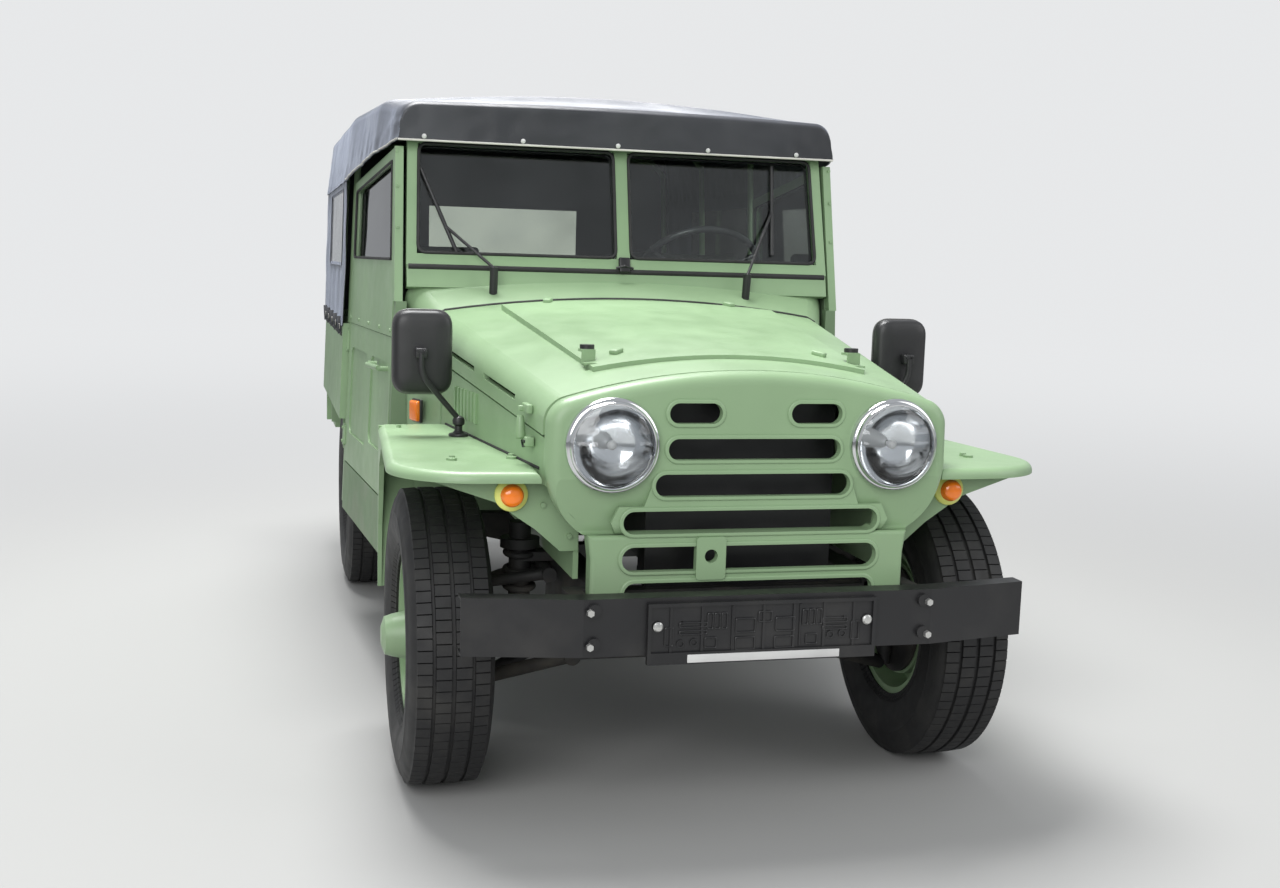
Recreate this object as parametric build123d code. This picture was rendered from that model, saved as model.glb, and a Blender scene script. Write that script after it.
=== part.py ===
from build123d import *
import os
from math import sin, cos, radians, sqrt

# An unarmed army four-wheel-drive car with a folding canvas top.
# Millimetres. +X is the car's left, +Y runs to the rear, +Z is up, and the ground is Z = 0.
# Every Y below is written from the front axle; save() moves it so that the length is centred.

# Main sizes of the car
WHEELBASE = 2250
HALF_TRACK = 642
HALF_WIDTH = 785
FRONT_END = -590
REAR_END = 3050
CENTRE_SHIFT = -(FRONT_END + REAR_END) / 2

# Wheels and tyres, 6.50-16
TYRE_R = 362
TYRE_HALF = 102
TREAD_HALF = 92
RIM_R = 203
BARREL_R = 186
DRUM_R = 150
WHEEL_Z = TYRE_R
HUB_TIP = 775
KINGPIN_X = 560
BALL_RISE = 98
STEER_LIMIT = 28

# Ladder frame
RAIL_IN = 295
RAIL_OUT = 357
RAIL_LOW = 468
RAIL_TOP = 568
RAIL_WALL = 6
RAIL_FRONT = -428
RAIL_REAR = 2900

# Body heights
SILL_LOW = 390
FLOOR_Z = 600
FLOOR_THICK = 16
DOOR_LOW = 562
WAIST_Z = 1050
TUB_TOP = 1040
FENDER_Z = 828
SKIRT_LOW = 385

# The flank is one plane that flares to the rear and leans in towards the roof
FLANK_X = 682
FLANK_Y = 760
FLARE = 0.073
TUMBLE = 0.040
DOOR_FRONT = 782
DOOR_REAR = 1682
DOOR_THICK = 32
DOOR_HEAD = 1600
HEAD_FALL = 0.09
WINDOW_LOW = 1266
RAKE_FOOT = 1150
VALANCE_GAP = 10
RAKE = 0.198
POST_FRONT = 742

# Rear body
TUB_FRONT = 1694
TUB_REAR = 2985
TUB_LOW = 705
WALL = 28
BOX_IN = 505
BOX_TOP = 800
BOX_FRONT = 1838
BOX_REAR = 2662
GATE_HALF = 400
GATE_TOP = 1018
GATE_PIN_Y = TUB_REAR + 3
GATE_PIN_Z = 604

# Bonnet and grille shell
NOSE_Y = -440
COWL_Y = 650
NOSE_HALF = 465
COWL_HALF = 592
SCUTTLE_HALF = 645
NOSE_CROWN = 1052
COWL_CROWN = 1173
NOSE_SHOULDER = 978
COWL_SHOULDER = 1118
NOSE_SKIRT = 905
COWL_SKIRT = 1012
SKIN = 14
LAMP_X = 326
LAMP_Z = 891
LAMP_R = 105
CRANK_X = -96
CRANK_Z = 645
CRANK_R = 15

# Windscreen, leaning back
SCREEN_LOW = (774, 1252)
SCREEN_TOP = (866, DOOR_HEAD + 40)
SCREEN_HALF_LOW = 646
SCREEN_HALF_TOP = 636
FRAME_BAR = 30
FRAME_THICK = 34

# Canvas top
ROOF_CROWN = DOOR_HEAD + 212
ROOF_EDGE = ROOF_CROWN - 70
EAVE_HALF = HALF_WIDTH - 21
EAVE_Z = DOOR_HEAD
CANVAS = 8

# Air left where a piece sits against the one that carries it
SEAT = 0.3

parts = {}


def V(*p):
    return Vector(*p)


def box(x0, x1, y0, y1, z0, z1):
    return Pos((x0 + x1) / 2, (y0 + y1) / 2, (z0 + z1) / 2) * Box(abs(x1 - x0), abs(y1 - y0), abs(z1 - z0))


def prism(axis, pts, a, b):
    # a flat outline of corner points, pushed along one axis from a to b
    if axis == "x":
        corners, way = [V(a, u, v) for u, v in pts], V(b - a, 0, 0)
    elif axis == "y":
        corners, way = [V(u, a, v) for u, v in pts], V(0, b - a, 0)
    else:
        corners, way = [V(u, v, a) for u, v in pts], V(0, 0, b - a)
    return Solid.extrude(Face(Wire.make_polygon(corners)), way)


def swept(outline, way):
    # a flat outline of edges, pushed along a vector
    face = Face(Wire(outline))
    if face.normal_at().dot(way) < 0:
        face = -face
    return Solid.extrude(face, way)


def rod(p, q, r):
    p, q = V(*p), V(*q)
    d = q - p
    return Solid.make_cylinder(r, d.length, Plane(origin=p, z_dir=d))


def tube_run(points, r):
    # a bent bar: straight rods with a ball at each bend
    run = rod(points[0], points[1], r)
    for a, b in zip(points[1:-1], points[2:]):
        run = run + Pos(*a) * Sphere(r) + rod(a, b, r)
    return run


def disc(x0, x1, y, z, r):
    return rod((x0, y, z), (x1, y, z), r)


def both(shape):
    return shape + mirror(shape, about=Plane.YZ)


def turned(profile, centre):
    # a profile of (distance along the axle, radius) points spun round the axle line
    wire = Wire.make_polygon([V(a, 0, r) for a, r in profile])
    return Pos(*centre) * Solid.revolve(Face(wire), 360, Axis((0, 0, 0), (1, 0, 0)))


# Local frame of the right flank: first axis forward, second up, third outward
FLANK = Plane(origin=(-FLANK_X, FLANK_Y, WAIST_Z), x_dir=(FLARE, -1, 0), z_dir=(-1, -FLARE, TUMBLE))


def on_flank(y0, y1, z0, z1, inner, outer):
    # a slab that lies along the right flank, between two depths measured outward
    slab = box(FLANK_Y - y1, FLANK_Y - y0, z0 - WAIST_Z, z1 - WAIST_Z, inner, outer)
    return FLANK * slab


def flank_rod(y0, z0, y1, z1, depth, r):
    a = (FLANK * Pos(FLANK_Y - y0, z0 - WAIST_Z, depth)).position
    b = (FLANK * Pos(FLANK_Y - y1, z1 - WAIST_Z, depth)).position
    return rod(tuple(a), tuple(b), r)


def add(name, shape):
    parts[name] = shape


# Tyres and wheels
BEAD = 65 - SEAT
tyre_profile = [(-BEAD, RIM_R + SEAT), (-BEAD, RIM_R + 16), (-88, RIM_R + 30), (-TYRE_HALF, RIM_R + 70),
                (-100, 308), (-TREAD_HALF, 346),
                (-72, 358), (-30, TYRE_R), (30, TYRE_R), (72, 358), (TREAD_HALF, 346), (100, 308),
                (TYRE_HALF, RIM_R + 70), (88, RIM_R + 30), (BEAD, RIM_R + 16), (BEAD, RIM_R + SEAT)]


def rim_profile(drum_end, cap_end):
    # well-base rim, dished disc and hub, all measured outward from the wheel's middle
    return [(-72, BARREL_R), (-72, RIM_R + 14), (-65, RIM_R + 14), (-65, RIM_R), (65, RIM_R),
            (65, RIM_R + 14),
            (72, RIM_R + 14), (72, BARREL_R), (22, BARREL_R), (40, 150), (30, 96), (34, 80), (70, 60),
            (cap_end - 26, 52), (cap_end - 8, 46), (cap_end, 24), (cap_end, 0), (-drum_end + 24, 0),
            (-drum_end + 24, DRUM_R - 12), (-drum_end, DRUM_R - 12), (-drum_end, DRUM_R), (8, DRUM_R),
            (8, BARREL_R)]


WHEELS = [
    # name, side, axle Y, hub cap end
    ("front_right", -1, 0, HUB_TIP - HALF_TRACK),
    ("front_left", 1, 0, HUB_TIP - HALF_TRACK),
    ("rear_right", -1, WHEELBASE, 92),
    ("rear_left", 1, WHEELBASE, 92),
]
DRUM_END = 52
STUB_END = HALF_TRACK - DRUM_END + 24 - SEAT
SLOTS_IN_DISC = 8
SLOT_RING = 166
SLOT_R = 13
for name, side, axle_y, cap in WHEELS:
    add("tyre_" + name, turned(tyre_profile, (side * HALF_TRACK, axle_y, WHEEL_Z)))
    rim = turned([(side * a, r) for a, r in rim_profile(DRUM_END, cap)], (side * HALF_TRACK, axle_y, WHEEL_Z))
    for k in range(SLOTS_IN_DISC):
        angle = radians(360 * (k + 0.5) / SLOTS_IN_DISC)
        y, z = axle_y + SLOT_RING * cos(angle), WHEEL_Z + SLOT_RING * sin(angle)
        hole = disc(side * (HALF_TRACK + 10), side * (HALF_TRACK + 60), y, z, SLOT_R)
        rim = rim - hole
    add("wheel_" + name, rim)

# Spare wheel: the same wheel without its drum, upright across the car behind the driver
SPARE_X = 300
SPARE_Y = 1711
SPARE_Z = FLOOR_Z + TYRE_R + SEAT
spare_rim = [(-72, BARREL_R), (-72, RIM_R + 14), (-65, RIM_R + 14), (-65, RIM_R), (65, RIM_R),
             (65, RIM_R + 14),
             (72, RIM_R + 14), (72, BARREL_R), (22, BARREL_R), (40, 150), (30, 96), (30, 40), (18, 40), (18,
                     96),
             (26, 146), (8, BARREL_R)]
turn = Pos(SPARE_X, SPARE_Y, SPARE_Z) * Rot(0, 0, 90)
add("spare_tyre", turn * turned(tyre_profile, (0, 0, 0)))
add("spare_wheel", turn * turned(spare_rim, (0, 0, 0)))

# Ladder frame: two box rails, cross-members, front horns, outriggers under the body
rail = box(RAIL_IN, RAIL_OUT, RAIL_FRONT, RAIL_REAR, RAIL_LOW, RAIL_TOP)
rail = rail - box(RAIL_IN + RAIL_WALL, RAIL_OUT - RAIL_WALL, RAIL_FRONT - 1, RAIL_REAR + 1,
                  RAIL_LOW + RAIL_WALL, RAIL_TOP - RAIL_WALL)
frame = both(rail)
CROSS_MEMBERS = [
    # Y, half length along the car, low, top
    (-404, 24, 478, 558),
    (1275, 30, 538, 566),
    (1830, 30, 478, 558),
    (2500, 30, 500, 558),
    (2872, 28, 468, 568),
]
for y, half, low, top in CROSS_MEMBERS:
    frame = frame + box(-RAIL_IN - 2, RAIL_IN + 2, y - half, y + half, low, top)
horn = box(RAIL_OUT - 2, 412, -428, -404, RAIL_LOW, RAIL_TOP - 4) + box(374, 412, -522, -404, RAIL_LOW,
        RAIL_TOP - 4)
frame = frame + both(horn)
OUTRIGGERS = [(560, 600), (1130, 612), (1655, 640), (2850, 640)]
for y, reach in OUTRIGGERS:
    arm = prism("y", [(RAIL_OUT - 2, RAIL_LOW + 10), (RAIL_OUT - 2, RAIL_TOP - 2), (reach, RAIL_TOP - 2),
                      (reach, RAIL_TOP - 34)], y - 22, y + 22)
    frame = frame + both(arm)
add("chassis_frame", frame)

# Bumper: a channel whose ends bend back, bolted to the horns
BUMPER_LOW = 449
BUMPER_TOP = 575
BUMPER_FACE = -577
bar = [(-653, -527), (-400, BUMPER_FACE), (400, BUMPER_FACE), (653, -527)]
outer = prism("z", bar + [(653, -482), (411, -524), (-411, -524), (-653, -482)], BUMPER_LOW, BUMPER_TOP)
hollow = prism("z", [(-660, -522), (-400, BUMPER_FACE + 6), (400, BUMPER_FACE + 6), (660, -522), (660, -470),
                     (411, -500), (-411, -500), (-660, -470)], BUMPER_LOW + 6, BUMPER_TOP - 6)
bumper = outer - hollow
lift = both(box(372, 404, BUMPER_FACE + 4, -522.5, BUMPER_LOW + 20, BUMPER_TOP - 20))
bumper = bumper + lift
for bolt_z in (552, 479):
    bumper = bumper + both(rod((378, BUMPER_FACE + 4, bolt_z), (378, BUMPER_FACE - 10, bolt_z), 14))
add("front_bumper", bumper)

# Bare number-plate holder in front of the bumper
PLATE_HALF = 262
PLATE_LOW = 430
PLATE_TOP = 564
PLATE_BOLT_X = 185
PLATE_BOLT_Z = 520
PLATE_BOLT_R = 3.5
holder = box(-PLATE_HALF, PLATE_HALF, BUMPER_FACE - 13, BUMPER_FACE - SEAT, PLATE_LOW, PLATE_TOP)
holder = holder - box(-PLATE_HALF + 8, PLATE_HALF - 8, BUMPER_FACE - 14, BUMPER_FACE - 7, PLATE_LOW + 26,
                      PLATE_TOP - 8)
for y_rib in range(-3, 4):
    x = y_rib * 70
    holder = holder + box(x - 3, x + 3, BUMPER_FACE - 10, BUMPER_FACE - 6, PLATE_LOW + 26, PLATE_TOP - 8)
holder = holder - both(rod((PLATE_BOLT_X, BUMPER_FACE - 20, PLATE_BOLT_Z),
                           (PLATE_BOLT_X, BUMPER_FACE + 2, PLATE_BOLT_Z), PLATE_BOLT_R))
add("plate_holder", holder)

# Front suspension: a cross tube, two wishbones and a coil spring tower each side
wish = box(-RAIL_IN - 30, RAIL_IN + 30, -70, 70, 300,
           352) + both(box(RAIL_IN - 5, RAIL_OUT, -60, 60, 340, RAIL_LOW))
LOW_ARM_Z = WHEEL_Z - BALL_RISE - 22
TOP_ARM_Z = WHEEL_Z + BALL_RISE + 22
for y in (-95, 95):
    wish = wish + both(rod((320, y, 318), (KINGPIN_X - 12, 0, LOW_ARM_Z - 2), 17))
    wish = wish + both(rod((378, y * 0.7, 520), (KINGPIN_X - 10, 0, TOP_ARM_Z + 4), 14))
wish = wish + both(rod((320, -115, 318), (320, 115, 318), 20))
wish = wish + both(rod((376, -85, 520), (376, 85, 520), 18))
wish = wish + both(rod((KINGPIN_X, 0, LOW_ARM_Z - 6), (KINGPIN_X, 0, WHEEL_Z - BALL_RISE - SEAT), 16))
wish = wish + both(rod((KINGPIN_X, 0, WHEEL_Z + BALL_RISE + SEAT), (KINGPIN_X, 0, TOP_ARM_Z + 8), 16))

SPRING_X = 436
SPRING_R = 46
COILS = 6
springs = rod((SPRING_X, 0, 300), (SPRING_X, 0, 640), 27)
for k in range(COILS):
    springs = springs + Pos(SPRING_X, 0, 352 + 42 * k) * Rot(6, 0, 0) * Solid.make_torus(SPRING_R - 12, 8)
springs = springs + rod((SPRING_X, 0, 330), (SPRING_X, 0, 342), SPRING_R)
springs = springs + rod((SPRING_X, 0, 576), (SPRING_X, 0, 600), SPRING_R + 3)
springs = springs + box(RAIL_OUT, SPRING_X, -30, 30, 544, 566)
add("front_suspension", wish + both(springs))

# Front axle drive: the differential and the half shafts to the hubs
DIFF_X = 70
drive = Pos(DIFF_X, 0, WHEEL_Z + 62) * Sphere(88)
drive = drive + rod((DIFF_X, 60, WHEEL_Z + 62), (DIFF_X, 190, WHEEL_Z + 62), 44)
drive = drive - box(-400, 400, -300, 300, 100, 352 + SEAT)
for side in (-1, 1):
    drive = drive + rod((DIFF_X + side * 60, 0, WHEEL_Z + 62), (side * 288 + 0, 0, WHEEL_Z + 62), 30)
add("front_differential", drive)

# Knuckles: upright, king pin bosses, backplate, steering arm
for name, side in (("knuckle_right", -1), ("knuckle_left", 1)):
    x = side * KINGPIN_X
    low, top = WHEEL_Z - BALL_RISE, WHEEL_Z + BALL_RISE
    body = rod((x, 0, low), (x, 0, top), 19)
    body = body + rod((x, 0, WHEEL_Z), (side * 584, 0, WHEEL_Z), 70)
    body = body + rod((side * 578, 0, WHEEL_Z), (side * 586, 0, WHEEL_Z), DRUM_R - 6)
    body = body + rod((side * 580, 0, WHEEL_Z), (side * STUB_END, 0, WHEEL_Z), 30)
    body = body + rod((x, 0, WHEEL_Z - 60), (side * (KINGPIN_X - 30), 150, WHEEL_Z - 60), 13)
    body = body + rod((side * (KINGPIN_X - 30), 150, WHEEL_Z - 74),
                      (side * (KINGPIN_X - 30), 150, WHEEL_Z - 46), 17)
    add(name, body)

# Rear axle with its differential, spring pads and drum backplates
AXLE_Y = WHEELBASE
axle = rod((-(HALF_TRACK - 64), AXLE_Y, WHEEL_Z), (HALF_TRACK - 64, AXLE_Y, WHEEL_Z), 36)
axle = axle + Pos(DIFF_X, AXLE_Y, WHEEL_Z) * Sphere(112)
axle = axle + rod((DIFF_X, AXLE_Y - 190, WHEEL_Z), (DIFF_X, AXLE_Y - 60, WHEEL_Z), 48)
for side in (-1, 1):
    axle = axle + rod((side * 574, AXLE_Y, WHEEL_Z), (side * 584, AXLE_Y, WHEEL_Z), DRUM_R - 6)
    axle = axle + rod((side * 580, AXLE_Y, WHEEL_Z), (side * STUB_END, AXLE_Y, WHEEL_Z), 30)
    axle = axle + box(side * 403, side * 467, AXLE_Y - 55, AXLE_Y + 55, WHEEL_Z + 20, WHEEL_Z + 52)
add("rear_axle", axle)

# Leaf springs: a short stack of curved leaves over the axle, with a hanger and a shackle
SPRING_SPAN = 540
LEAF_W = 32
leaf_x = 435


def leaf(span, low, rise, thick):
    a = ThreePointArc((AXLE_Y - span, low + rise), (AXLE_Y, low), (AXLE_Y + span, low + rise))
    b = ThreePointArc((AXLE_Y + span, low + rise + thick), (AXLE_Y, low + thick),
                      (AXLE_Y - span, low + rise + thick))
    wire = Wire(Polyline((AXLE_Y - span, low + rise + thick), (AXLE_Y - span, low + rise)).edges()
                + a.edges() + Polyline((AXLE_Y + span, low + rise),
                                       (AXLE_Y + span, low + rise + thick)).edges()
                + b.edges())
    face = Plane.YZ * Face(wire)
    return Solid.extrude(face, V(2 * LEAF_W, 0, 0))


stack = leaf(SPRING_SPAN, WHEEL_Z + 84, 74, 9)
for k, span in enumerate((430, 330, 230, 130)):
    stack = stack + leaf(span, WHEEL_Z + 84 - 8 * (k + 1), 74 * (span / SPRING_SPAN) ** 2, 9)
stack = Pos(leaf_x - LEAF_W, 0, 0) * stack
EYE_Z = WHEEL_Z + 84 + 74 + 12
stack = stack + rod((leaf_x - LEAF_W, AXLE_Y - SPRING_SPAN, EYE_Z),
                    (leaf_x + LEAF_W, AXLE_Y - SPRING_SPAN, EYE_Z), 16)
stack = stack + rod((leaf_x - LEAF_W, AXLE_Y + SPRING_SPAN, EYE_Z),
                    (leaf_x + LEAF_W, AXLE_Y + SPRING_SPAN, EYE_Z), 16)
stack = stack + rod((RAIL_OUT, AXLE_Y - SPRING_SPAN, EYE_Z),
                    (leaf_x - LEAF_W + 2, AXLE_Y - SPRING_SPAN, EYE_Z), 13)
stack = stack + rod((RAIL_OUT, AXLE_Y + SPRING_SPAN, EYE_Z),
                    (leaf_x - LEAF_W + 2, AXLE_Y + SPRING_SPAN, EYE_Z), 13)
for y in (AXLE_Y - 48, AXLE_Y + 48):
    for x in (leaf_x - LEAF_W - 11, leaf_x + LEAF_W + 11):
        stack = stack + rod((x, y, WHEEL_Z + 40), (x, y, WHEEL_Z + 108), 7)
stack = stack + box(leaf_x - LEAF_W - 20, leaf_x + LEAF_W + 20, AXLE_Y - 56, AXLE_Y + 56, WHEEL_Z + 94,
                    WHEEL_Z + 104)

# Rear dampers, inside the rails
DAMPER_X = 266
damper = rod((DAMPER_X, AXLE_Y + 62, 396), (DAMPER_X, AXLE_Y + 190, 545), 15)
damper = damper + rod((DAMPER_X, AXLE_Y + 62, 396), (DAMPER_X, AXLE_Y + 130, 475), 21)
damper = damper + box(DAMPER_X - 10, DAMPER_X + 10, AXLE_Y + 37, AXLE_Y + 70, 376, 402)
damper = damper + box(DAMPER_X - 10, RAIL_IN, AXLE_Y + 176, AXLE_Y + 200, 524, 556)
add("rear_springs", both(stack + damper))

# Engine, a plain block at its real place and size
ENGINE_FRONT = -270
ENGINE_REAR = 420
engine = box(-150, 150, ENGINE_FRONT, ENGINE_REAR, 560, 900) + box(-120, 120, ENGINE_FRONT + 20,
        ENGINE_REAR, 530, 562)

# Radiator behind the grille
RAD_HALF = 222
radiator = box(-RAD_HALF, RAD_HALF, -395, -335, 590, 960) + box(-RAD_HALF, RAD_HALF, -400, -330, 958, 992)
add("radiator", radiator + box(-RAD_HALF, RAD_HALF, -400, -330, 558 + SEAT, 592))

# Gearbox and transfer case
OUTPUT_X = 170
box_set = prism("x", [(ENGINE_REAR - 2, 520), (ENGINE_REAR - 2, 800), (520, 760), (640, 700), (860, 690),
                      (860, 520)], -120, 120)
box_set = box_set + box(-150, 232, 870, 1160, 430, 690) + rod((0, 850, 600), (0, 880, 600), 80)
box_set = box_set + rod((OUTPUT_X, 1150, 500), (OUTPUT_X, 1190, 500), 50) + rod((OUTPUT_X, 842, 500),
        (OUTPUT_X, 880, 500), 50)
mounts = box(-RAIL_IN + SEAT, RAIL_IN - SEAT, 60, 105, 531, 565)
add("engine_gearbox", engine + box_set + mounts)

# Propeller shafts with their joints
shafts = rod((OUTPUT_X, 1200, 500), (DIFF_X, AXLE_Y - 204, WHEEL_Z), 28)
shafts = shafts + rod((OUTPUT_X, 832, 500), (DIFF_X, 200, WHEEL_Z + 62), 26)
for p in ((OUTPUT_X, 1200, 500), (DIFF_X, AXLE_Y - 204, WHEEL_Z), (OUTPUT_X, 832, 500),
          (DIFF_X, 204, WHEEL_Z + 62)):
    shafts = shafts + Pos(*p) * Sphere(40)
shafts = shafts - box(-100, 300, 842 - SEAT, 1190 + SEAT, 300, 700) - box(-100, 300, -300, 190 + SEAT, 300,
        700)
shafts = shafts - box(-100, 300, AXLE_Y - 190 - SEAT, AXLE_Y + 200, 200, 700)
add("propeller_shafts", shafts)

# Fuel tank between the rails at the back
TANK_LOW = 400
tank = fillet(box(-160, 272, 2545, 2830, TANK_LOW, 556).edges().filter_by(Axis.X), 30)
tank = tank + box(-160, 272, 2530 + SEAT, 2844 - SEAT, 528, 536)
add("fuel_tank", tank)

# Exhaust: down pipe, silencer and tail pipe on the right
PIPE_X = -205
exhaust = box(-158, -150 - SEAT, 86, 154, 606,
              674) + tube_run([(-152, 120, 640), (-178, 120, 640), (PIPE_X, 320, 470), (PIPE_X, 1180, 400)],
                              24)
exhaust = exhaust - box(-150 - SEAT, -100, 80, 160, 600, 680)
exhaust = exhaust + rod((PIPE_X, 1250, 400), (PIPE_X, 1660, 400), 68) + rod((PIPE_X, 1170, 400),
        (PIPE_X, 1252, 400), 24)
exhaust = exhaust + tube_run([(PIPE_X, 1650, 400), (PIPE_X, 1960, 430), (PIPE_X, 2930, 430)], 21)
add("exhaust", exhaust)

# Floor pan with its tunnel, the firewall and the fixed sills
floor = box(-640, 640, 500, TUB_FRONT - 0.5, FLOOR_Z - FLOOR_THICK, FLOOR_Z)
tunnel = prism("y", [(-190, FLOOR_Z - 8), (-150, 800), (150, 800), (190, FLOOR_Z - 8)], 500, 900)
tunnel = tunnel + prism("y", [(-250, FLOOR_Z - 8), (-210, 720), (260, 720), (290, FLOOR_Z - 8)], 880, 1240)
core = prism("y", [(-176, FLOOR_Z - 20), (-138, 786), (138, 786), (176, FLOOR_Z - 20)], 490, 872)
core = core + prism("y", [(-236, FLOOR_Z - 20), (-198, 706), (248, 706), (276, FLOOR_Z - 20)], 860, 1226)
floor = floor - prism("y", [(-176, 500), (-176, FLOOR_Z + 2), (176, FLOOR_Z + 2), (176, 500)], 490, 872)
floor = floor - prism("y", [(-236, 500), (-236, FLOOR_Z + 2), (276, FLOOR_Z + 2), (276, 500)], 860, 1226)
floor = floor + (tunnel - core)
firewall = box(-542, 542, 480, 502, FLOOR_Z - FLOOR_THICK, 1036)
firewall = firewall - box(-138, 138, 470, 510, 500, 786)
sill = on_flank(POST_FRONT + 2, TUB_FRONT - 3, SILL_LOW, DOOR_LOW - 6, -DOOR_THICK, 0)
sill = sill + on_flank(POST_FRONT + 2, TUB_FRONT - 3, DOOR_LOW - 40, DOOR_LOW - 6, -88, -DOOR_THICK + 4)
post = prism("z", [(-FLANK_X - 8, POST_FRONT), (-FLANK_X - 8, DOOR_FRONT - 6),
                   (-SCUTTLE_HALF - 0.5, DOOR_FRONT - 6),
                   (-SCUTTLE_HALF - 0.5, POST_FRONT)], FLOOR_Z - 30, 1150)
post = post & on_flank(POST_FRONT - 30, DOOR_FRONT + 40, SILL_LOW, 1160, -120, 0)
lower_post = on_flank(POST_FRONT, DOOR_FRONT + 10, SILL_LOW, DOOR_LOW - 6, -88, 0)
body = floor + firewall + both(sill + post + lower_post)

for y in (545, 1130, 1600):
    body = body + both(box(304, 348, y - 34, y + 34, RAIL_TOP + SEAT, FLOOR_Z - FLOOR_THICK + 1))

# Seat boxes that carry the front seats
SEAT_FRONT = 1110
SEAT_REAR = 1560
seat_box = box(300, 640, SEAT_FRONT, SEAT_REAR, FLOOR_Z, 800)
seat_box = seat_box - box(314, 626, SEAT_FRONT + 14, SEAT_REAR - 14, FLOOR_Z - 1, 786)
add("floor_body", body + both(seat_box))

# Scuttle: top panel behind the bonnet, side cheeks, dash wall


def hood_section(half, shoulder, crown, skirt, y):
    # crown arc, shoulder arcs and straight skirts of one cross-section of the hood
    inner_x = half - 42
    wire = [ThreePointArc((-inner_x, y, shoulder + 12), (0, y, crown), (inner_x, y, shoulder + 12)),
            ThreePointArc((inner_x, y, shoulder + 12), (half - 12, y, shoulder - 10),
                          (half, y, shoulder - 50)),
            Polyline((half, y, shoulder - 50), (half, y, skirt), (-half, y, skirt),
                     (-half, y, shoulder - 50)),
            ThreePointArc((-half, y, shoulder - 50), (-half + 12, y, shoulder - 10),
                          (-inner_x, y, shoulder + 12))]
    edges = []
    for piece in wire:
        edges = edges + list(piece.edges())
    return Face(Wire(edges))


def hull(front, rear):
    return Solid.make_loft([front.outer_wire(), rear.outer_wire()], True)


def hood_at(y, inset, skirt_drop=0):
    # the hood's cross-section at any station, shrunk by an inset
    t = (y - NOSE_Y) / (COWL_Y - NOSE_Y)
    half = NOSE_HALF + (COWL_HALF - NOSE_HALF) * t - inset
    shoulder = NOSE_SHOULDER + (COWL_SHOULDER - NOSE_SHOULDER) * t - inset
    crown = NOSE_CROWN + (COWL_CROWN - NOSE_CROWN) * t - inset
    skirt = NOSE_SKIRT + (COWL_SKIRT - NOSE_SKIRT) * t - skirt_drop
    return hood_section(half, shoulder, crown, skirt, y)


SCREEN_SEAT = 1238
outer_hull = hull(hood_section(COWL_HALF, 1118, COWL_CROWN, 822, COWL_Y + 5),
                  hood_section(SCUTTLE_HALF, 1200, SCREEN_SEAT + 2, 822, SCREEN_LOW[0] + 20))
inner_hull = hull(hood_section(COWL_HALF - 22, 1096, COWL_CROWN - 22, 800, COWL_Y + 4),
                  hood_section(SCUTTLE_HALF - 22, 1178, SCREEN_SEAT - 20, 800, SCREEN_LOW[0] + 21))
scuttle = outer_hull - inner_hull
scuttle = scuttle & box(-700, 700, 400, 900, 1040, 1300)
cheek = prism("z", [(-COWL_HALF + 18, 503), (-SCUTTLE_HALF, 700), (-SCUTTLE_HALF, POST_FRONT - 1),
                    (-SCUTTLE_HALF + 24, POST_FRONT - 1), (-SCUTTLE_HALF + 24, 702), (-COWL_HALF + 42, 506)],
              FLOOR_Z, 1044)
cheek = cheek - box(-700, -500, 490, COWL_Y + 5, NOSE_SKIRT + 86, 1100)
scuttle = scuttle + both(cheek)
ledge = hull(hood_at(600, SKIN + SEAT), hood_at(COWL_Y + 10, SKIN + SEAT))
ledge = ledge - hull(hood_at(599, SKIN + 25, 10), hood_at(COWL_Y + 11, SKIN + 25, 10))
ledge = ledge & box(-700, 700, 590, COWL_Y + 10, 1060, 1300)
front_wall = hull(hood_at(503, SKIN + 8), hood_at(517, SKIN + 8)) & box(-700, 700, 500, 520, 1000, 1300)
front_wall = front_wall + hull(hood_at(503, SKIN + 8),
                               hood_at(610, SKIN + 8)) - hull(hood_at(502, SKIN + 26, 10),
                                                              hood_at(611, SKIN + 26, 10))
front_wall = front_wall & box(-700, 700, 500, 612, 1040, 1300)
front_wall = front_wall + (hull(hood_at(503, SKIN + 20), hood_at(517, SKIN + 20))
                           & box(-540, 540, 500, 520, 1000, 1300))
scuttle = scuttle + ledge + front_wall
add("scuttle", scuttle)

# Bonnet: a crowned lid with skirts, long side slots, a low raised middle
LID_FRONT = NOSE_Y + 3
bonnet = hull(hood_at(LID_FRONT, 0), hood_at(COWL_Y, 0))
core = hull(hood_at(LID_FRONT - 1, SKIN, 25), hood_at(COWL_Y + 1, SKIN, 25))
bonnet = bonnet - core
rise_solid = hull(hood_section(NOSE_HALF - 90, 1012, NOSE_CROWN + 9, 960, NOSE_Y),
                  hood_section(COWL_HALF - 90, 1148, COWL_CROWN + 9, 1100, COWL_Y))
plateau = prism("z", [(-330, -300), (330, -300), (400, 560), (-400, 560)], 900, 1300) & rise_solid
bonnet = bonnet + (plateau - core)
bonnet = bonnet - prism("x", [(LID_FRONT - 20, 880), (LID_FRONT + 14, 880), (LID_FRONT, 1062),
                              (LID_FRONT - 20, 1062)], -700, 700)
BONNET_SLOTS = [
    # start Y, end Y
    (150, 600),
    (-210, 60),
]
side_run = COWL_Y - NOSE_Y
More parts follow.
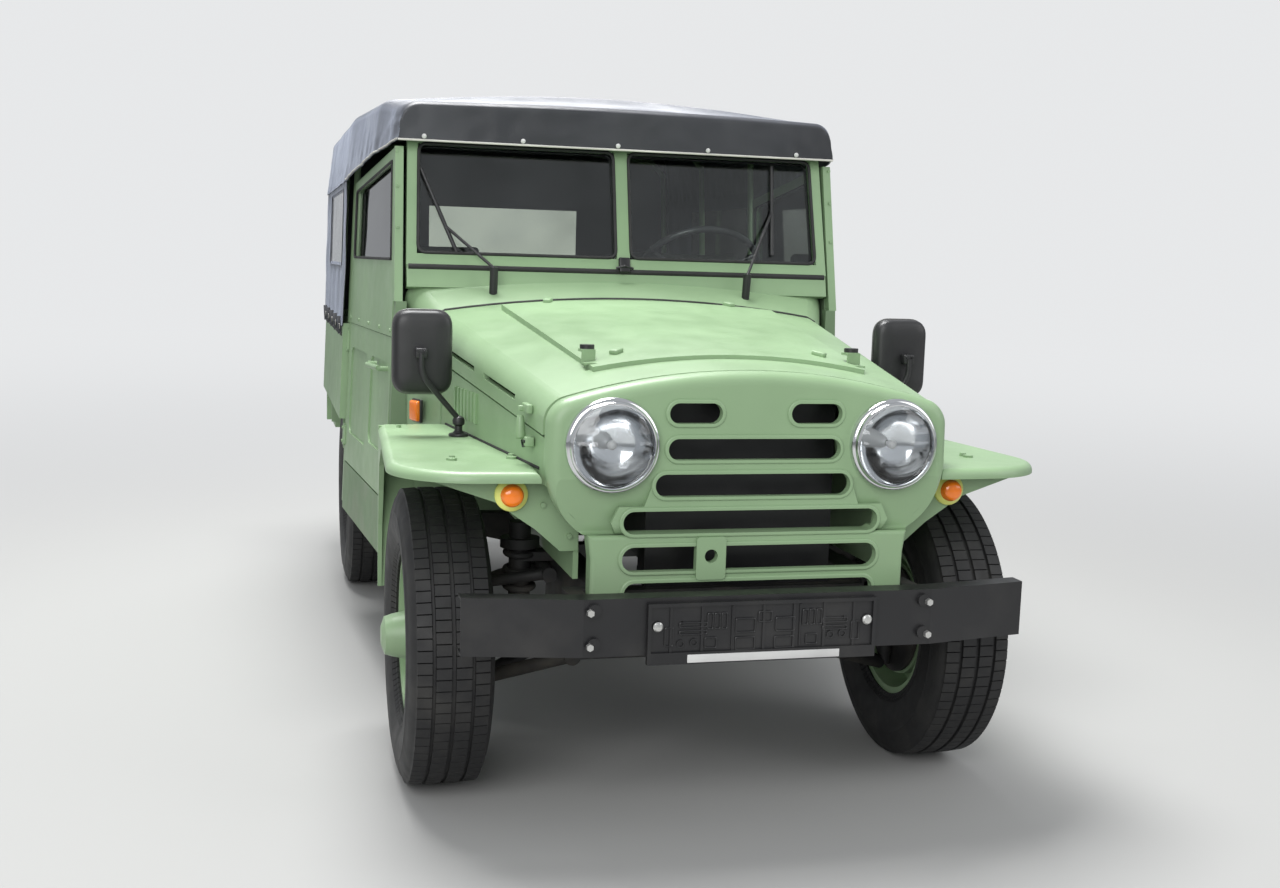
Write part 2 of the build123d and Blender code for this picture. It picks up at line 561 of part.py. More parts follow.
for y0, y1 in BONNET_SLOTS:
    for side in (-1, 1):
        z0 = 944 + (y0 - NOSE_Y) * 0.100
        z1 = 944 + (y1 - NOSE_Y) * 0.100
        x = side * (NOSE_HALF + (COWL_HALF - NOSE_HALF) * ((y0 + y1) / 2 - NOSE_Y) / side_run)
        cut = prism("x", [(y0, z0 - 6), (y1, z1 - 6), (y1, z1 + 7), (y0, z0 + 7)], x - 50, x + 50)
        bonnet = bonnet - cut
add("bonnet", bonnet)

# Rests on the bonnet: bent steel brackets with oval rubber pads
PAD_X = 327
PAD_Y = -233
rest = box(PAD_X - 16, PAD_X + 16, PAD_Y - 40, PAD_Y - 4, 1040, 1052) + box(PAD_X - 16, PAD_X + 16, PAD_Y
        - 8, PAD_Y - 2, 1046, 1080)
rest = rest + box(PAD_X - 16, PAD_X + 16, PAD_Y - 8, PAD_Y + 34, 1074, 1080)
rest = rest - Pos(PAD_X, PAD_Y + 14, 1077) * Box(8, 20, 12)
rest = Pos(0, 0, SEAT) * (rest - rise_solid - hull(hood_at(LID_FRONT, 0), hood_at(COWL_Y, 0)))
pad = Pos(PAD_X, PAD_Y + 12, 1085.5) * Cylinder(17, 11)
add("bonnet_rests", both(rest + pad))

# Engine-bay sides, between the shell and the scuttle, with louvres, and the wheel-arch wall
WING_SKIN = 12
PANEL_TOP = FENDER_Z - WING_SKIN - SEAT
wing_outer = prism("z", [(-NOSE_HALF + 4, NOSE_Y - 3 + SEAT), (-COWL_HALF + 4, 640), (-COWL_HALF + 18, 640),
                         (-NOSE_HALF + 18, NOSE_Y - 3 + SEAT)],
                   FENDER_Z - 30, 1100)
below = prism("x", [(NOSE_Y - 20, 600), (700, 600), (700, 1010), (NOSE_Y - 20, 897)], -700, 0)
side_panel = wing_outer & below
side_panel = side_panel - box(-700, -400, 503 - SEAT, 700, 400, 1200)
LOUVRES = 7
for k in range(LOUVRES):
    y = 130 + k * 34
    x = -(NOSE_HALF + (COWL_HALF - NOSE_HALF) * (y - NOSE_Y) / side_run)
    side_panel = side_panel + Pos(x + 2, y, 905) * Rot(0, 0, 20) * Box(12, 10, 76)
arch_wall = box(-382, -370, -374, 478, 575, FENDER_Z - 26)
shelf = prism("z", [(-NOSE_HALF + 8, NOSE_Y + 6), (-COWL_HALF + 27, 478), (-372, 478),
                    (-372, -374), (-432, -374), (-432, NOSE_Y + 6)], FENDER_Z - 34, FENDER_Z - 22)
front_panel = prism("y", [(-688, PANEL_TOP), (-688, 796), (-560, 752), (-470, 690), (-413, 640), (-372, 640),
                          (-372, PANEL_TOP)], -378, -366)
add("inner_wings", both(side_panel + arch_wall + shelf + front_panel))

# Front wings: a flat top whose front and outer edges roll down, and a skirt behind the wheel
WING_LIP = 24
WING_ROUND = 20
WING_BEND = 190
WING_LOW = FENDER_Z - WING_LIP


def bent_corner(shape, x, y, r):
    # rounds the upright edge of a plate that stands nearest to a plan point
    upright = shape.edges().filter_by(Axis.Z).sort_by(lambda edge: (edge.center().X - x) ** 2
                                                      + (edge.center().Y - y) ** 2)
    return fillet(upright[0], r)


wing = prism("z", [(-471, -452), (-797, -436), (-748, 452), (-566.4, 452), (-466.5, -400)], WING_LOW,
             FENDER_Z)
wing = bent_corner(wing, -797, -436, WING_BEND)
under = prism("z", [(-440, -436), (-781.5, -421), (-733, 438), (-440, 438)], WING_LOW - 1, FENDER_Z
              - WING_SKIN)
wing = wing - bent_corner(under, -781.5, -421, WING_BEND - 14)
rolled = []
for edge in wing.faces().sort_by(Axis.Z)[-1].edges():
    middle = edge.center()
    if middle.Y < 400 and (middle.X < -640 or middle.Y < -420):
        rolled.append(edge)
wing = fillet(rolled, WING_ROUND)
skirt = prism("z", [(-748, 440), (-748, 452), (-652, 462), (-652, 450)], SKIRT_LOW, FENDER_Z - 2)
skirt_side = prism("x", [(452, SKIRT_LOW), (438, SKIRT_LOW), (424, 560), (384, 660), (330, 734), (251, 774),
                         (175, WING_LOW), (175, FENDER_Z - 14), (452, FENDER_Z - 14)], -775, -738)
skirt_side = skirt_side & prism("z", [(-762, 175), (-756, 300), (-748, 452), (-735, 452), (-743, 300),
                                      (-749, 175)], 300, 900)
wing = wing + skirt + skirt_side + box(-652, -576, 452, 476, FLOOR_Z, FENDER_Z - 2)
for x, y in ((-640, -250), (-500, -230)):
    wing = wing + Pos(x, y, FENDER_Z + 2) * Cylinder(12, 6)
add("front_fenders", both(wing))

# Grille shell: one crowned pressing with lamp pods, a recess under each lamp and six flanged slot rows
SHELL_REAR = NOSE_Y - 3
SHELL_FACE = -486
SHELL_WALL = 13
SHELL_ROUND = 30
WAIST = (378, 690)


def pod_outline(inset, y):
    # front view of the upper shell: crown, shoulders, cheeks round the lamps, shrunk by an inset
    i = inset
    corner, shoulder, cheek, chin = (423 - i, 990 - i), (465 - i, 928), (467 - i, 850), (WAIST[0] - i,
            WAIST[1] + i)
    right = [ThreePointArc((corner[0], y, corner[1]), (453 - i, y, 968 - i / 2),
                           (shoulder[0], y, shoulder[1])),
             Polyline((shoulder[0], y, shoulder[1]), (cheek[0], y, cheek[1])),
             ThreePointArc((cheek[0], y, cheek[1]), (447 - i, y, 766 + i / 2), (chin[0], y, chin[1]))]
    left = [mirror(edge, about=Plane.YZ) for edge in right]
    crown = ThreePointArc((-corner[0], y, corner[1]), (0, y, NOSE_CROWN - i), (corner[0], y, corner[1]))
    foot = Polyline((-chin[0], y, chin[1]), (chin[0], y, chin[1]))
    edges = []
    for piece in right + left + [crown, foot]:
        edges = edges + list(piece.edges())
    return edges


pods = swept(pod_outline(0, SHELL_REAR), V(0, SHELL_FACE - SHELL_REAR, 0))
pods = fillet(pods.faces().sort_by(Axis.Y)[0].edges(), SHELL_ROUND)
slot_box = prism("y", [(-WAIST[0] + 4, 693), (WAIST[0] - 4, 693), (367, 640), (367, 525), (-367, 525),
                       (-367, 640)],
                 SHELL_REAR, SHELL_FACE)
slot_box = fillet(slot_box.faces().sort_by(Axis.Y)[0].edges(), 9)
# the pressing runs back under each lamp, so that the slot box below stands out as a ledge
recess_plan = [(222, 836), (250, 756), (307, 756), (324, 721), (311, 693.5), (480, 693.5), (480, 836)]
recess_cut = [(-560, 818), (SHELL_FACE, 818), (-456, 700), (-456, 600), (-560, 600)]
recess_wall = [(SHELL_FACE, 818), (-456, 700), (-456, 690), (-446, 690), (-446, 702), (-476, 820)]
recess = prism("y", recess_plan, -560, SHELL_REAR) & prism("x", recess_cut, 0, 480)
behind = swept(pod_outline(SHELL_WALL, SHELL_REAR + 1), V(0, SHELL_FACE + SHELL_WALL - SHELL_REAR - 1, 0))
under_wall = prism("y", [(200, 836), (240, 740), (300, 740), (300, 700), (372, 700), (470, 800),
                         (470, 836)], -560, SHELL_REAR)
under_wall = under_wall & prism("x", recess_wall, 0, 470) & pods
shell = pods - behind - both(recess) + both(under_wall)
shell = shell + (slot_box - box(-354, 354, SHELL_FACE + SHELL_WALL, SHELL_REAR + 1, 500, 700))
SLOT_ROWS = [
    # inner X, outer X, low, top
    (80, 200, 938, 983),
    (0, 200, 858, 905),
    (0, 227, 777, 827),
    (0, 297, 696, 746),
    (0, 298, 612, 667),
    (0, 292, 538, 587),
]


def slot_shape(x0, x1, low, top, y0, y1):
    r = (top - low) / 2
    mid = (top + low) / 2
    shape = box(x0 + r, x1 - r, y0, y1, low, top)
    return shape + rod((x0 + r, y0, mid), (x0 + r, y1, mid), r) + rod((x1 - r, y0, mid), (x1 - r, y1, mid), r)


LIP = 9
LIP_OUT = 4
for x_in, x_out, low, top in SLOT_ROWS:
    spans = [(-x_out, x_out)] if x_in == 0 else [(-x_out, -x_in), (x_in, x_out)]
    for a, b in spans:
        rim = slot_shape(a - LIP, b + LIP, low - LIP, top + LIP, SHELL_FACE - LIP_OUT, SHELL_FACE
                         + SHELL_WALL + 4)
        rim = fillet(rim.faces().sort_by(Axis.Y)[0].edges(), LIP_OUT)
        shell = shell + rim - slot_shape(a, b, low, top, SHELL_FACE - 20, SHELL_REAR + 20)
CRANK_PLATE_HALF = 34
CRANK_PLATE_OUT = 8
crank_plate = box(CRANK_X - CRANK_PLATE_HALF, CRANK_X + CRANK_PLATE_HALF,
                  SHELL_FACE - CRANK_PLATE_OUT, SHELL_FACE + SHELL_WALL, CRANK_Z - 53, CRANK_Z + 43)
crank_plate = fillet(crank_plate.edges().filter_by(Axis.Y), 8)
crank_plate = crank_plate - rod((CRANK_X, SHELL_FACE - 30, CRANK_Z), (CRANK_X, SHELL_REAR, CRANK_Z), CRANK_R)
shell = shell + crank_plate
for side in (-1, 1):
    shell = shell - rod((side * LAMP_X, SHELL_REAR + 30, LAMP_Z), (side * LAMP_X, SHELL_FACE - 30, LAMP_Z),
                        LAMP_R - 9)
    bowl = rod((side * LAMP_X, NOSE_Y + 58, LAMP_Z), (side * LAMP_X, SHELL_FACE + 4, LAMP_Z), LAMP_R - 6)
    bowl = bowl - rod((side * LAMP_X, NOSE_Y + 50, LAMP_Z), (side * LAMP_X, SHELL_FACE + 3, LAMP_Z), LAMP_R
                      - 14)
    shell = shell + bowl
add("grille_shell", shell)

# Headlamps: chrome ring, domed glass
RING_BACK = SHELL_FACE - SEAT
RING_FACE = SHELL_FACE - 26
ring = rod((LAMP_X, RING_BACK, LAMP_Z), (LAMP_X, RING_FACE, LAMP_Z), LAMP_R)
ring = ring - rod((LAMP_X, RING_BACK + 1, LAMP_Z), (LAMP_X, RING_FACE - 1, LAMP_Z), 89)
ring = fillet(ring.edges().filter_by(GeomType.CIRCLE).sort_by(Axis.Y)[0:2], 6)
glass = Pos(LAMP_X, RING_FACE + 190, LAMP_Z) * Sphere(205) & rod((LAMP_X, RING_FACE + 12, LAMP_Z),
        (LAMP_X, RING_FACE - 40, LAMP_Z), 89 - SEAT)
glass = glass + rod((LAMP_X, SHELL_FACE - 2, LAMP_Z), (LAMP_X, RING_FACE + 10, LAMP_Z), 89 - SEAT)
add("headlamp_rings", both(ring))
add("headlamp_glass", both(glass))

# Front indicators on the wing, side repeaters on the scuttle
IND = (525, -378.4, 769)
ind_lamp = rod((IND[0], IND[1], IND[2]), (IND[0], IND[1] - 10, IND[2]), 38)
ind_lamp = ind_lamp + rod((IND[0], IND[1] - 8, IND[2]), (IND[0], IND[1] - 36, IND[2]), 25)
ind_lamp = fillet(ind_lamp.edges().filter_by(GeomType.CIRCLE).sort_by(Axis.Y)[0:1], 8)
cheek_slope = (SCUTTLE_HALF - COWL_HALF + 18) / 197
rep_y = 600
rep_x = COWL_HALF - 18 + cheek_slope * (rep_y - 503)
repeater = Pos(rep_x + 12.4, rep_y, 850) * Rot(0, 0, -19) * Box(22, 66, 56)
add("side_lamps", both(ind_lamp + repeater))

# Windscreen frame with a centre post, two panes
s_len = sqrt((SCREEN_TOP[0] - SCREEN_LOW[0]) ** 2 + (SCREEN_TOP[1] - SCREEN_LOW[1]) ** 2)
SCREEN = Plane(origin=(0, SCREEN_LOW[0], SCREEN_LOW[1]), x_dir=(1, 0, 0),
               z_dir=(0, -(SCREEN_TOP[1] - SCREEN_LOW[1]), SCREEN_TOP[0] - SCREEN_LOW[0]))


def screen_prism(pts, inner, outer):
    flat = Solid.extrude(Face(Wire.make_polygon([V(x, y, inner) for x, y in pts])), V(0, 0, outer - inner))
    return SCREEN * flat


taper = (SCREEN_HALF_LOW - SCREEN_HALF_TOP) / s_len
base = screen_prism([(-SCREEN_HALF_LOW + 1, -64), (SCREEN_HALF_LOW - 1, -64), (SCREEN_HALF_LOW - 1, -SEAT),
                     (-SCREEN_HALF_LOW + 1, -SEAT)], -FRAME_THICK / 2 + 2, FRAME_THICK / 2 - 2)
parts["scuttle"] = parts["scuttle"] + (base - inner_hull)
frame_pts = [(-SCREEN_HALF_LOW, 0), (SCREEN_HALF_LOW, 0), (SCREEN_HALF_TOP, s_len), (-SCREEN_HALF_TOP, s_len)]
screen_frame = screen_prism(frame_pts, -FRAME_THICK / 2, FRAME_THICK / 2)
GLASS_HALF = 3
PANE_LOW = 34
PANE_TOP = s_len - 36
for side in (-1, 1):
    pane = [(side * 20, PANE_LOW), (side * (SCREEN_HALF_LOW - FRAME_BAR - taper * PANE_LOW), PANE_LOW),
            (side * (SCREEN_HALF_LOW - FRAME_BAR - taper * PANE_TOP), PANE_TOP), (side * 20, PANE_TOP)]
    screen_frame = screen_frame - screen_prism(pane, -FRAME_THICK, FRAME_THICK)
add("windscreen_frame", screen_frame)
panes = None
for side in (-1, 1):
    pane = [(side * (20 + SEAT), PANE_LOW + SEAT),
            (side * (SCREEN_HALF_LOW - FRAME_BAR - SEAT - taper * PANE_LOW), PANE_LOW + SEAT),
            (side * (SCREEN_HALF_LOW - FRAME_BAR - SEAT - taper * PANE_TOP), PANE_TOP
             - SEAT), (side * (20 + SEAT), PANE_TOP - SEAT)]
    sheet = screen_prism(pane, -GLASS_HALF, GLASS_HALF)
    panes = sheet if panes is None else panes + sheet
add("windscreen_glass", panes)
# Wipers: pivots on the scuttle, arms and blades up the panes
seat_hull = hull(hood_section(COWL_HALF + SEAT, 1118 + SEAT, COWL_CROWN + SEAT, 822, COWL_Y + 5),
                 hood_section(SCUTTLE_HALF + SEAT, 1200 + SEAT, SCREEN_SEAT + 2 + SEAT, 822, SCREEN_LOW[0]
                              + 20))
BLADE_R = 6
PIVOT = (700, 1252)
pane_half = SCREEN_HALF_LOW - FRAME_BAR - taper * PANE_TOP
WIPERS = [
    # side, pivot X, blade foot (in from the glass edge, up from its foot), tip (in, down from its head), arm's end
    (-1, 400, (108, 8), (8, 75), 0.31),
    (1, 370, (133, 28), (123, 20), 0.49),
]
wiper_parts = None
for side, pivot_x, (foot_in, foot_up), (tip_in, tip_down), share in WIPERS:
    lift = GLASS_HALF + SEAT + BLADE_R
    foot = (SCREEN * Pos(side * (pane_half - foot_in), PANE_LOW + foot_up, lift)).position
    tip = (SCREEN * Pos(side * (pane_half - tip_in), PANE_TOP - tip_down, lift)).position
    arm_end = foot + (tip - foot) * share
    px = side * pivot_x
    w = rod((px, PIVOT[0] + 16, 1150), (px, PIVOT[0], PIVOT[1] + 4), 12) - seat_hull
    w = w + rod((px, *PIVOT), tuple(arm_end), 4.5) + rod(tuple(foot), tuple(tip), BLADE_R)
    wiper_parts = w if wiper_parts is None else wiper_parts + w
add("wipers", wiper_parts)

# Fixed side posts beside the windscreen, on the scuttle's shoulders
POST_TOP = DOOR_HEAD - 6
POST_IN = 11
POST_OUT = 35
side_post = None
for side in (-1, 1):
    rings = []
    for z, half in ((RAKE_FOOT, SCREEN_HALF_LOW),
                    (POST_TOP, SCREEN_HALF_LOW - taper * (POST_TOP - SCREEN_LOW[1]))):
        back = RAKE * (z - RAKE_FOOT)
        rings.append(Wire.make_polygon([V(side * (half + across), along + back, z) for across, along in (
            (POST_IN, POST_FRONT + 2), (POST_OUT, POST_FRONT + 2), (POST_OUT, DOOR_FRONT - 8), (POST_IN,
                    DOOR_FRONT - 8))]))
    column = Solid.make_loft(rings, True)
    side_post = column if side_post is None else side_post + column
add("side_posts", side_post)

# Doors, hinged at the rear: pressed lower half, bolted steel upper half with its window
door = on_flank(DOOR_FRONT, DOOR_REAR, DOOR_LOW, WAIST_Z, -DOOR_THICK, 0)
PRESSINGS = [
    # front Y, rear Y, low, top
    (850, 1165, 690, 965),
    (1225, 1610, 668, 965),
]
for y0, y1, low, top in PRESSINGS:
    recess = on_flank(y0, y1, low, top, -6, 2)
    recess = fillet(recess.edges().filter_by(Axis(recess.center(), (1, FLARE, -TUMBLE))), 34)
    door = door - recess
TOP_THICK = 24


def head_z(y):
    return DOOR_HEAD - HEAD_FALL * (y - DOOR_FRONT)


def raked(y0, y1, z0, drop, inner, outer, clear):
    # a slab on the flank: its front edge leans with the windscreen, its top follows the door's head line
    slab = on_flank(y0, y1 + 40, z0, DOOR_HEAD + 60, inner, outer)
    lean = y0 + clear + RAKE * (DOOR_HEAD + 60 - RAKE_FOOT)
    front = [(y0 + clear, 1000), (y0 + clear, RAKE_FOOT), (lean, DOOR_HEAD + 60), (y1, DOOR_HEAD + 60),
             (y1, 1000)]
    head = [(y0 - 50, 1000), (y0 - 50, head_z(y0 - 50) - drop), (y1 + 50, head_z(y1 + 50) - drop),
            (y1 + 50, 1000)]
    return slab & prism("x", front, -900, -500) & prism("x", head, -900, -500)


upper = raked(DOOR_FRONT, DOOR_REAR - 22, WAIST_Z - 4, 0, -TOP_THICK + 2, 2, 0)
window = raked(DOOR_FRONT, DOOR_REAR - 60, WINDOW_LOW, 30, -TOP_THICK - 4, 6, 30)
door_top = upper - window
door = door - on_flank(DOOR_FRONT - 2, DOOR_REAR + 2, WAIST_Z - 6, WAIST_Z - 4, -8, 6)
window_sheet = raked(DOOR_FRONT, DOOR_REAR - 60 - SEAT, WINDOW_LOW + SEAT, 30 + SEAT, -14, -10, 30 + SEAT)

grip = flank_rod(830, 950, 1050, 944, 28, 8)
for y in (836, 1044):
    foot_a = (FLANK * Pos(FLANK_Y - y, -102, 0)).position
    foot_b = (FLANK * Pos(FLANK_Y - y, -102, 28)).position
    grip = grip + rod(tuple(foot_a), tuple(foot_b), 8)
HINGES = [(612, 688), (944, 1020)]
hinge_leaf = None
for low, top in HINGES:
    leaf_a = on_flank(DOOR_REAR + 2 + SEAT, DOOR_REAR + 34, low, top, -3, 6)
    hinge_leaf = leaf_a if hinge_leaf is None else hinge_leaf + leaf_a
    door = door + flank_rod(DOOR_REAR - 4, low + 6, DOOR_REAR - 4, top - 6, 2, 6)
door_full = door + grip
door_full = door_full + door_top
add("door_right", door_full)
add("door_left", mirror(door_full, about=Plane.YZ))
add("door_window_right", window_sheet)
add("door_window_left", mirror(window_sheet, about=Plane.YZ))

# Rear tub: double-walled sides that stand out over the wheels, wheel boxes, floor and end posts
TUB_HALF = HALF_WIDTH
tub_outline = [(-TUB_HALF, TUB_LOW), (-TUB_HALF + 13, TUB_TOP), (-TUB_HALF + 13 + WALL, TUB_TOP),
               (-TUB_HALF + WALL, TUB_LOW)]
side_wall = prism("y", tub_outline, TUB_FRONT, TUB_REAR)
step_face = prism("y", [(-TUB_HALF + 2, TUB_LOW), (-TUB_HALF + 14, TUB_TOP), (-TUB_HALF + 95, TUB_TOP),
                        (-TUB_HALF + 95, TUB_LOW)],
                  TUB_FRONT, TUB_FRONT + WALL)
lower_face = on_flank(TUB_FRONT - 3 + SEAT, TUB_FRONT + WALL, SILL_LOW + 20, TUB_LOW + 4, -110, -2)
wheel_box = box(-TUB_HALF + 6, -BOX_IN, BOX_FRONT - 20, BOX_REAR + 20, FLOOR_Z - 16, BOX_TOP)
wheel_box = wheel_box - box(-TUB_HALF - 10, -BOX_IN - 16, BOX_FRONT, BOX_REAR, FLOOR_Z - 30, BOX_TOP - 20)
wheel_box = wheel_box - box(-TUB_HALF - 1, -TUB_HALF + 20, BOX_FRONT - 30, BOX_REAR + 30, FLOOR_Z - 30,
                            TUB_LOW)
rear_floor = box(-BOX_IN - 4, 0.5, TUB_FRONT, TUB_REAR - 5, FLOOR_Z - FLOOR_THICK, FLOOR_Z)
rear_floor = rear_floor + box(-TUB_HALF + 43, -BOX_IN, TUB_FRONT, BOX_FRONT - 4, FLOOR_Z - FLOOR_THICK,
                              FLOOR_Z)
rear_floor = rear_floor + box(-TUB_HALF + 43, -BOX_IN, BOX_REAR + 4, TUB_REAR, FLOOR_Z - FLOOR_THICK, FLOOR_Z)
rear_pads = box(-348, -304, 1900, 1960, RAIL_TOP + SEAT, FLOOR_Z - FLOOR_THICK + 1)
rear_pads = rear_pads + box(-348, -304, 2820, 2880, RAIL_TOP + SEAT, FLOOR_Z - FLOOR_THICK + 1)
rear_panel = box(-TUB_HALF + 14, -GATE_HALF - 6, TUB_REAR - WALL, TUB_REAR, 560, TUB_TOP)
lower_side = box(-TUB_HALF + 35, -TUB_HALF + 63, BOX_REAR + 4, TUB_REAR, 560, TUB_LOW + 4)
rear_sill = box(-TUB_HALF + 30, 0.5, TUB_REAR - WALL, TUB_REAR, 560, FLOOR_Z - 2)
rail_top = box(-TUB_HALF + 13, -TUB_HALF + 60, TUB_FRONT, TUB_REAR, TUB_TOP - 24, TUB_TOP)
tub = side_wall + rear_pads + step_face + lower_face + wheel_box + rear_floor + rear_panel + lower_side + rear_sill + rail_top
gate_lugs = None
for x in (-333, -227):
    lug = rod((x - 26 + SEAT, GATE_PIN_Y, GATE_PIN_Z), (x + 26 - SEAT, GATE_PIN_Y, GATE_PIN_Z), 6)
    lug = lug + box(x - 24, x + 24, TUB_REAR - 2, TUB_REAR + 8, GATE_PIN_Z - 24, GATE_PIN_Z)
    gate_lugs = lug if gate_lugs is None else gate_lugs + lug
tub = both(tub + hinge_leaf + gate_lugs)
add("rear_tub", tub)

# Tailgate, hinged along its foot
gate = box(-GATE_HALF, GATE_HALF, TUB_REAR - WALL + 2, TUB_REAR - 4, FLOOR_Z + 8, GATE_TOP)
gate = gate - rod((-GATE_HALF - 1, GATE_PIN_Y, GATE_PIN_Z), (GATE_HALF + 1, GATE_PIN_Y, GATE_PIN_Z), 6 + SEAT)
for x in (-250, 0, 250):
    gate = gate + box(x - 22, x + 22, TUB_REAR - 5, TUB_REAR + 3, FLOOR_Z + 50, GATE_TOP - 40)
for x in (-280, 280):
    knuckle = rod((x - 26, GATE_PIN_Y, GATE_PIN_Z), (x + 26, GATE_PIN_Y, GATE_PIN_Z), 6)
    knuckle = knuckle + box(x - 26, x + 26, TUB_REAR - 6, TUB_REAR + 4, GATE_PIN_Z, GATE_PIN_Z + 56)
    gate = gate + knuckle
add("tailgate", gate)

# Benches on the wheel boxes
bench = box(-TUB_HALF + 67, -BOX_IN + 60, 1900, 2920, BOX_TOP + 0.4, BOX_TOP + 70)
bench = fillet(bench.edges().filter_by(Axis.Y), 18)
add("rear_benches", both(bench))

# Front seats
seat_cushion = fillet(box(302, 632, SEAT_FRONT - 20, SEAT_REAR - 70, 800.4, 900).edges(), 26)
seat_back = Pos(467, SEAT_REAR - 116, 906) * Rot(-9, 0, 0) * (Pos(0, 42, 202) * Box(324, 80, 460))
seat_back = fillet(seat_back.edges(), 26)
add("front_seats", both(seat_cushion + seat_back))
# Dashboard across the scuttle
dash = prism("x", [(716, 1126), (716, 975), (740, 965), (746, 1126)], -556, 556)
dash = dash + both(box(550, SCUTTLE_HALF - 24 - SEAT, 716, POST_FRONT - 4, 980, 1036))
add("dashboard", dash)

# Steering column and wheel on the left
COLUMN_TOP = (330, 1095, 1244)
COLUMN_FOOT = (330, 545, 716)
aim = V(0, COLUMN_TOP[1] - COLUMN_FOOT[1], COLUMN_TOP[2] - COLUMN_FOOT[2])
head_end = V(*COLUMN_TOP) - aim.normalized() * (52 + SEAT)
column = rod((330, 478, 651.7), tuple(head_end), 20) - box(200, 460, 400, 502 + SEAT, 500, 900)
WHEEL_PLANE = Plane(origin=COLUMN_TOP, x_dir=(1, 0, 0), z_dir=aim)
wheel_rim = Solid.make_torus(205, 11)
wheel_hub = Pos(0, 0, -30) * Cylinder(38, 44)
st_wheel = wheel_rim + wheel_hub
for angle in (90, 210, 330):
    st_wheel = st_wheel + rod((0, 0, -24), (202 * cos(radians(angle)), 202 * sin(radians(angle)), 0), 8)
add("steering_wheel", WHEEL_PLANE * st_wheel)

# Levers and pedals
levers = rod((59, 937, 712), (90, 1010, 1010), 8) + Pos(90, 1010, 1016) * Sphere(22)
levers = levers + rod((-30, 1016, 712), (-30, 1070, 900), 7) + Pos(-30, 1070, 904) * Sphere(17)
levers = levers + rod((150, 1048, 712), (150, 1160, 864), 9)
for x in (250, 330, 420):
    levers = levers + rod((x, 494, 820), (x, 600, 690), 8) + Pos(x, 604, 690) * Rot(50, 0, 0) * Box(60, 70, 8)
levers = levers - box(200, 460, 400, 502 + SEAT, 500, 900) - box(-100, 200, 900, 1200, 600, 720 + SEAT)
add("driver_controls", levers + column)

# Mirrors on the front wings
mirror_set = None
for side in (-1, 1):
    foot = (side * 640, 60, FENDER_Z + SEAT)
    arm = rod(foot, (foot[0], foot[1], FENDER_Z + 14), 26)
    arm = arm + tube_run([(side * 640, 60, FENDER_Z + 8), (side * 640, 66, 930), (side * 690, 110, 1010),
                          (side * 690, 140, 1050)], 8)

    head = Box(176, 46, 205)
    head = fillet(head.edges().filter_by(Axis.Y), 34)
    head = Pos(side * 690, 150, 1058) * Rot(0, 0, side * -6) * head
    one = arm + head
    mirror_set = one if mirror_set is None else mirror_set + one
add("mirrors", mirror_set)

# Rear lamps, tow hook
lamps = None
for side in (-1, 1):
    lamp_x = side * (TUB_HALF - 165)
    lamp = rod((lamp_x, TUB_REAR + SEAT, 700), (lamp_x, TUB_REAR + 34, 700), 42)
    lamp = lamp + rod((lamp_x, TUB_REAR + SEAT, 800), (lamp_x, TUB_REAR + 30, 800), 34)
    lamps = lamp if lamps is None else lamps + lamp
add("rear_lamps", lamps)
hook = box(-60, 60, 2900.4, 2912, 460, 576) + rod((0, 2910, 518), (0, 2990, 518), 18)
hook = hook + (Pos(0, 3012, 518) * Box(76, 76, 60))
hook = hook - Pos(0, 3016, 518) * Box(90, 70, 24) - rod((0, 3020, 440), (0, 3020, 600), 10)
add("tow_hook", hook)
# Canvas top: one shell over the bows, open over the doors and at the screen
CURTAIN_FOOT = TUB_HALF - 13 + CANVAS + 0.7


def curtain_x(z):
    # outer face of the side curtain, which leans in from the tub's rail to the eave
    return CURTAIN_FOOT + (EAVE_HALF - CURTAIN_FOOT) * (z - TUB_TOP + 10) / (EAVE_Z - TUB_TOP + 10)


HANG_Z = head_z(DOOR_REAR) + VALANCE_GAP
FRONT_HALF = SCREEN_HALF_TOP + 32
ROOF_SECTIONS = [
    # Y, half width at the foot, foot Z, half width at the edge, edge Z, crown Z
    (796, FRONT_HALF, head_z(796) + VALANCE_GAP, FRONT_HALF - 14, ROOF_EDGE - 34, ROOF_CROWN - 84),
    (1080, EAVE_HALF - 48, head_z(1080) + VALANCE_GAP, EAVE_HALF - 64, ROOF_EDGE - 4, ROOF_CROWN - 20),
    (TUB_FRONT - 30, curtain_x(HANG_Z), HANG_Z, EAVE_HALF - 22, ROOF_EDGE, ROOF_CROWN),
    (TUB_REAR + 14, curtain_x(HANG_Z), HANG_Z, EAVE_HALF - 22, ROOF_EDGE + 8, ROOF_CROWN - 4),
]


def roof_face(y, foot, foot_z, edge, edge_z, crown, inset):
    f, e, ez, c = foot - inset, edge - inset, edge_z - inset, crown - inset
    foot_z = foot_z - inset / 4
    edges = list(Polyline((-f, y, foot_z), (-e, y, ez - 30)).edges())
    edges = edges + list(ThreePointArc((-e, y, ez - 30), (-e + 12, y, ez - 4), (-e + 50, y, ez + 12)).edges())
    edges = edges + list(ThreePointArc((-e + 50, y, ez + 12), (0, y, c), (e - 50, y, ez + 12)).edges())
    edges = edges + list(ThreePointArc((e - 50, y, ez + 12), (e - 12, y, ez - 4), (e, y, ez - 30)).edges())
    edges = edges + list(Polyline((e, y, ez - 30), (f, y, foot_z), (-f, y, foot_z)).edges())
    return Wire(edges)


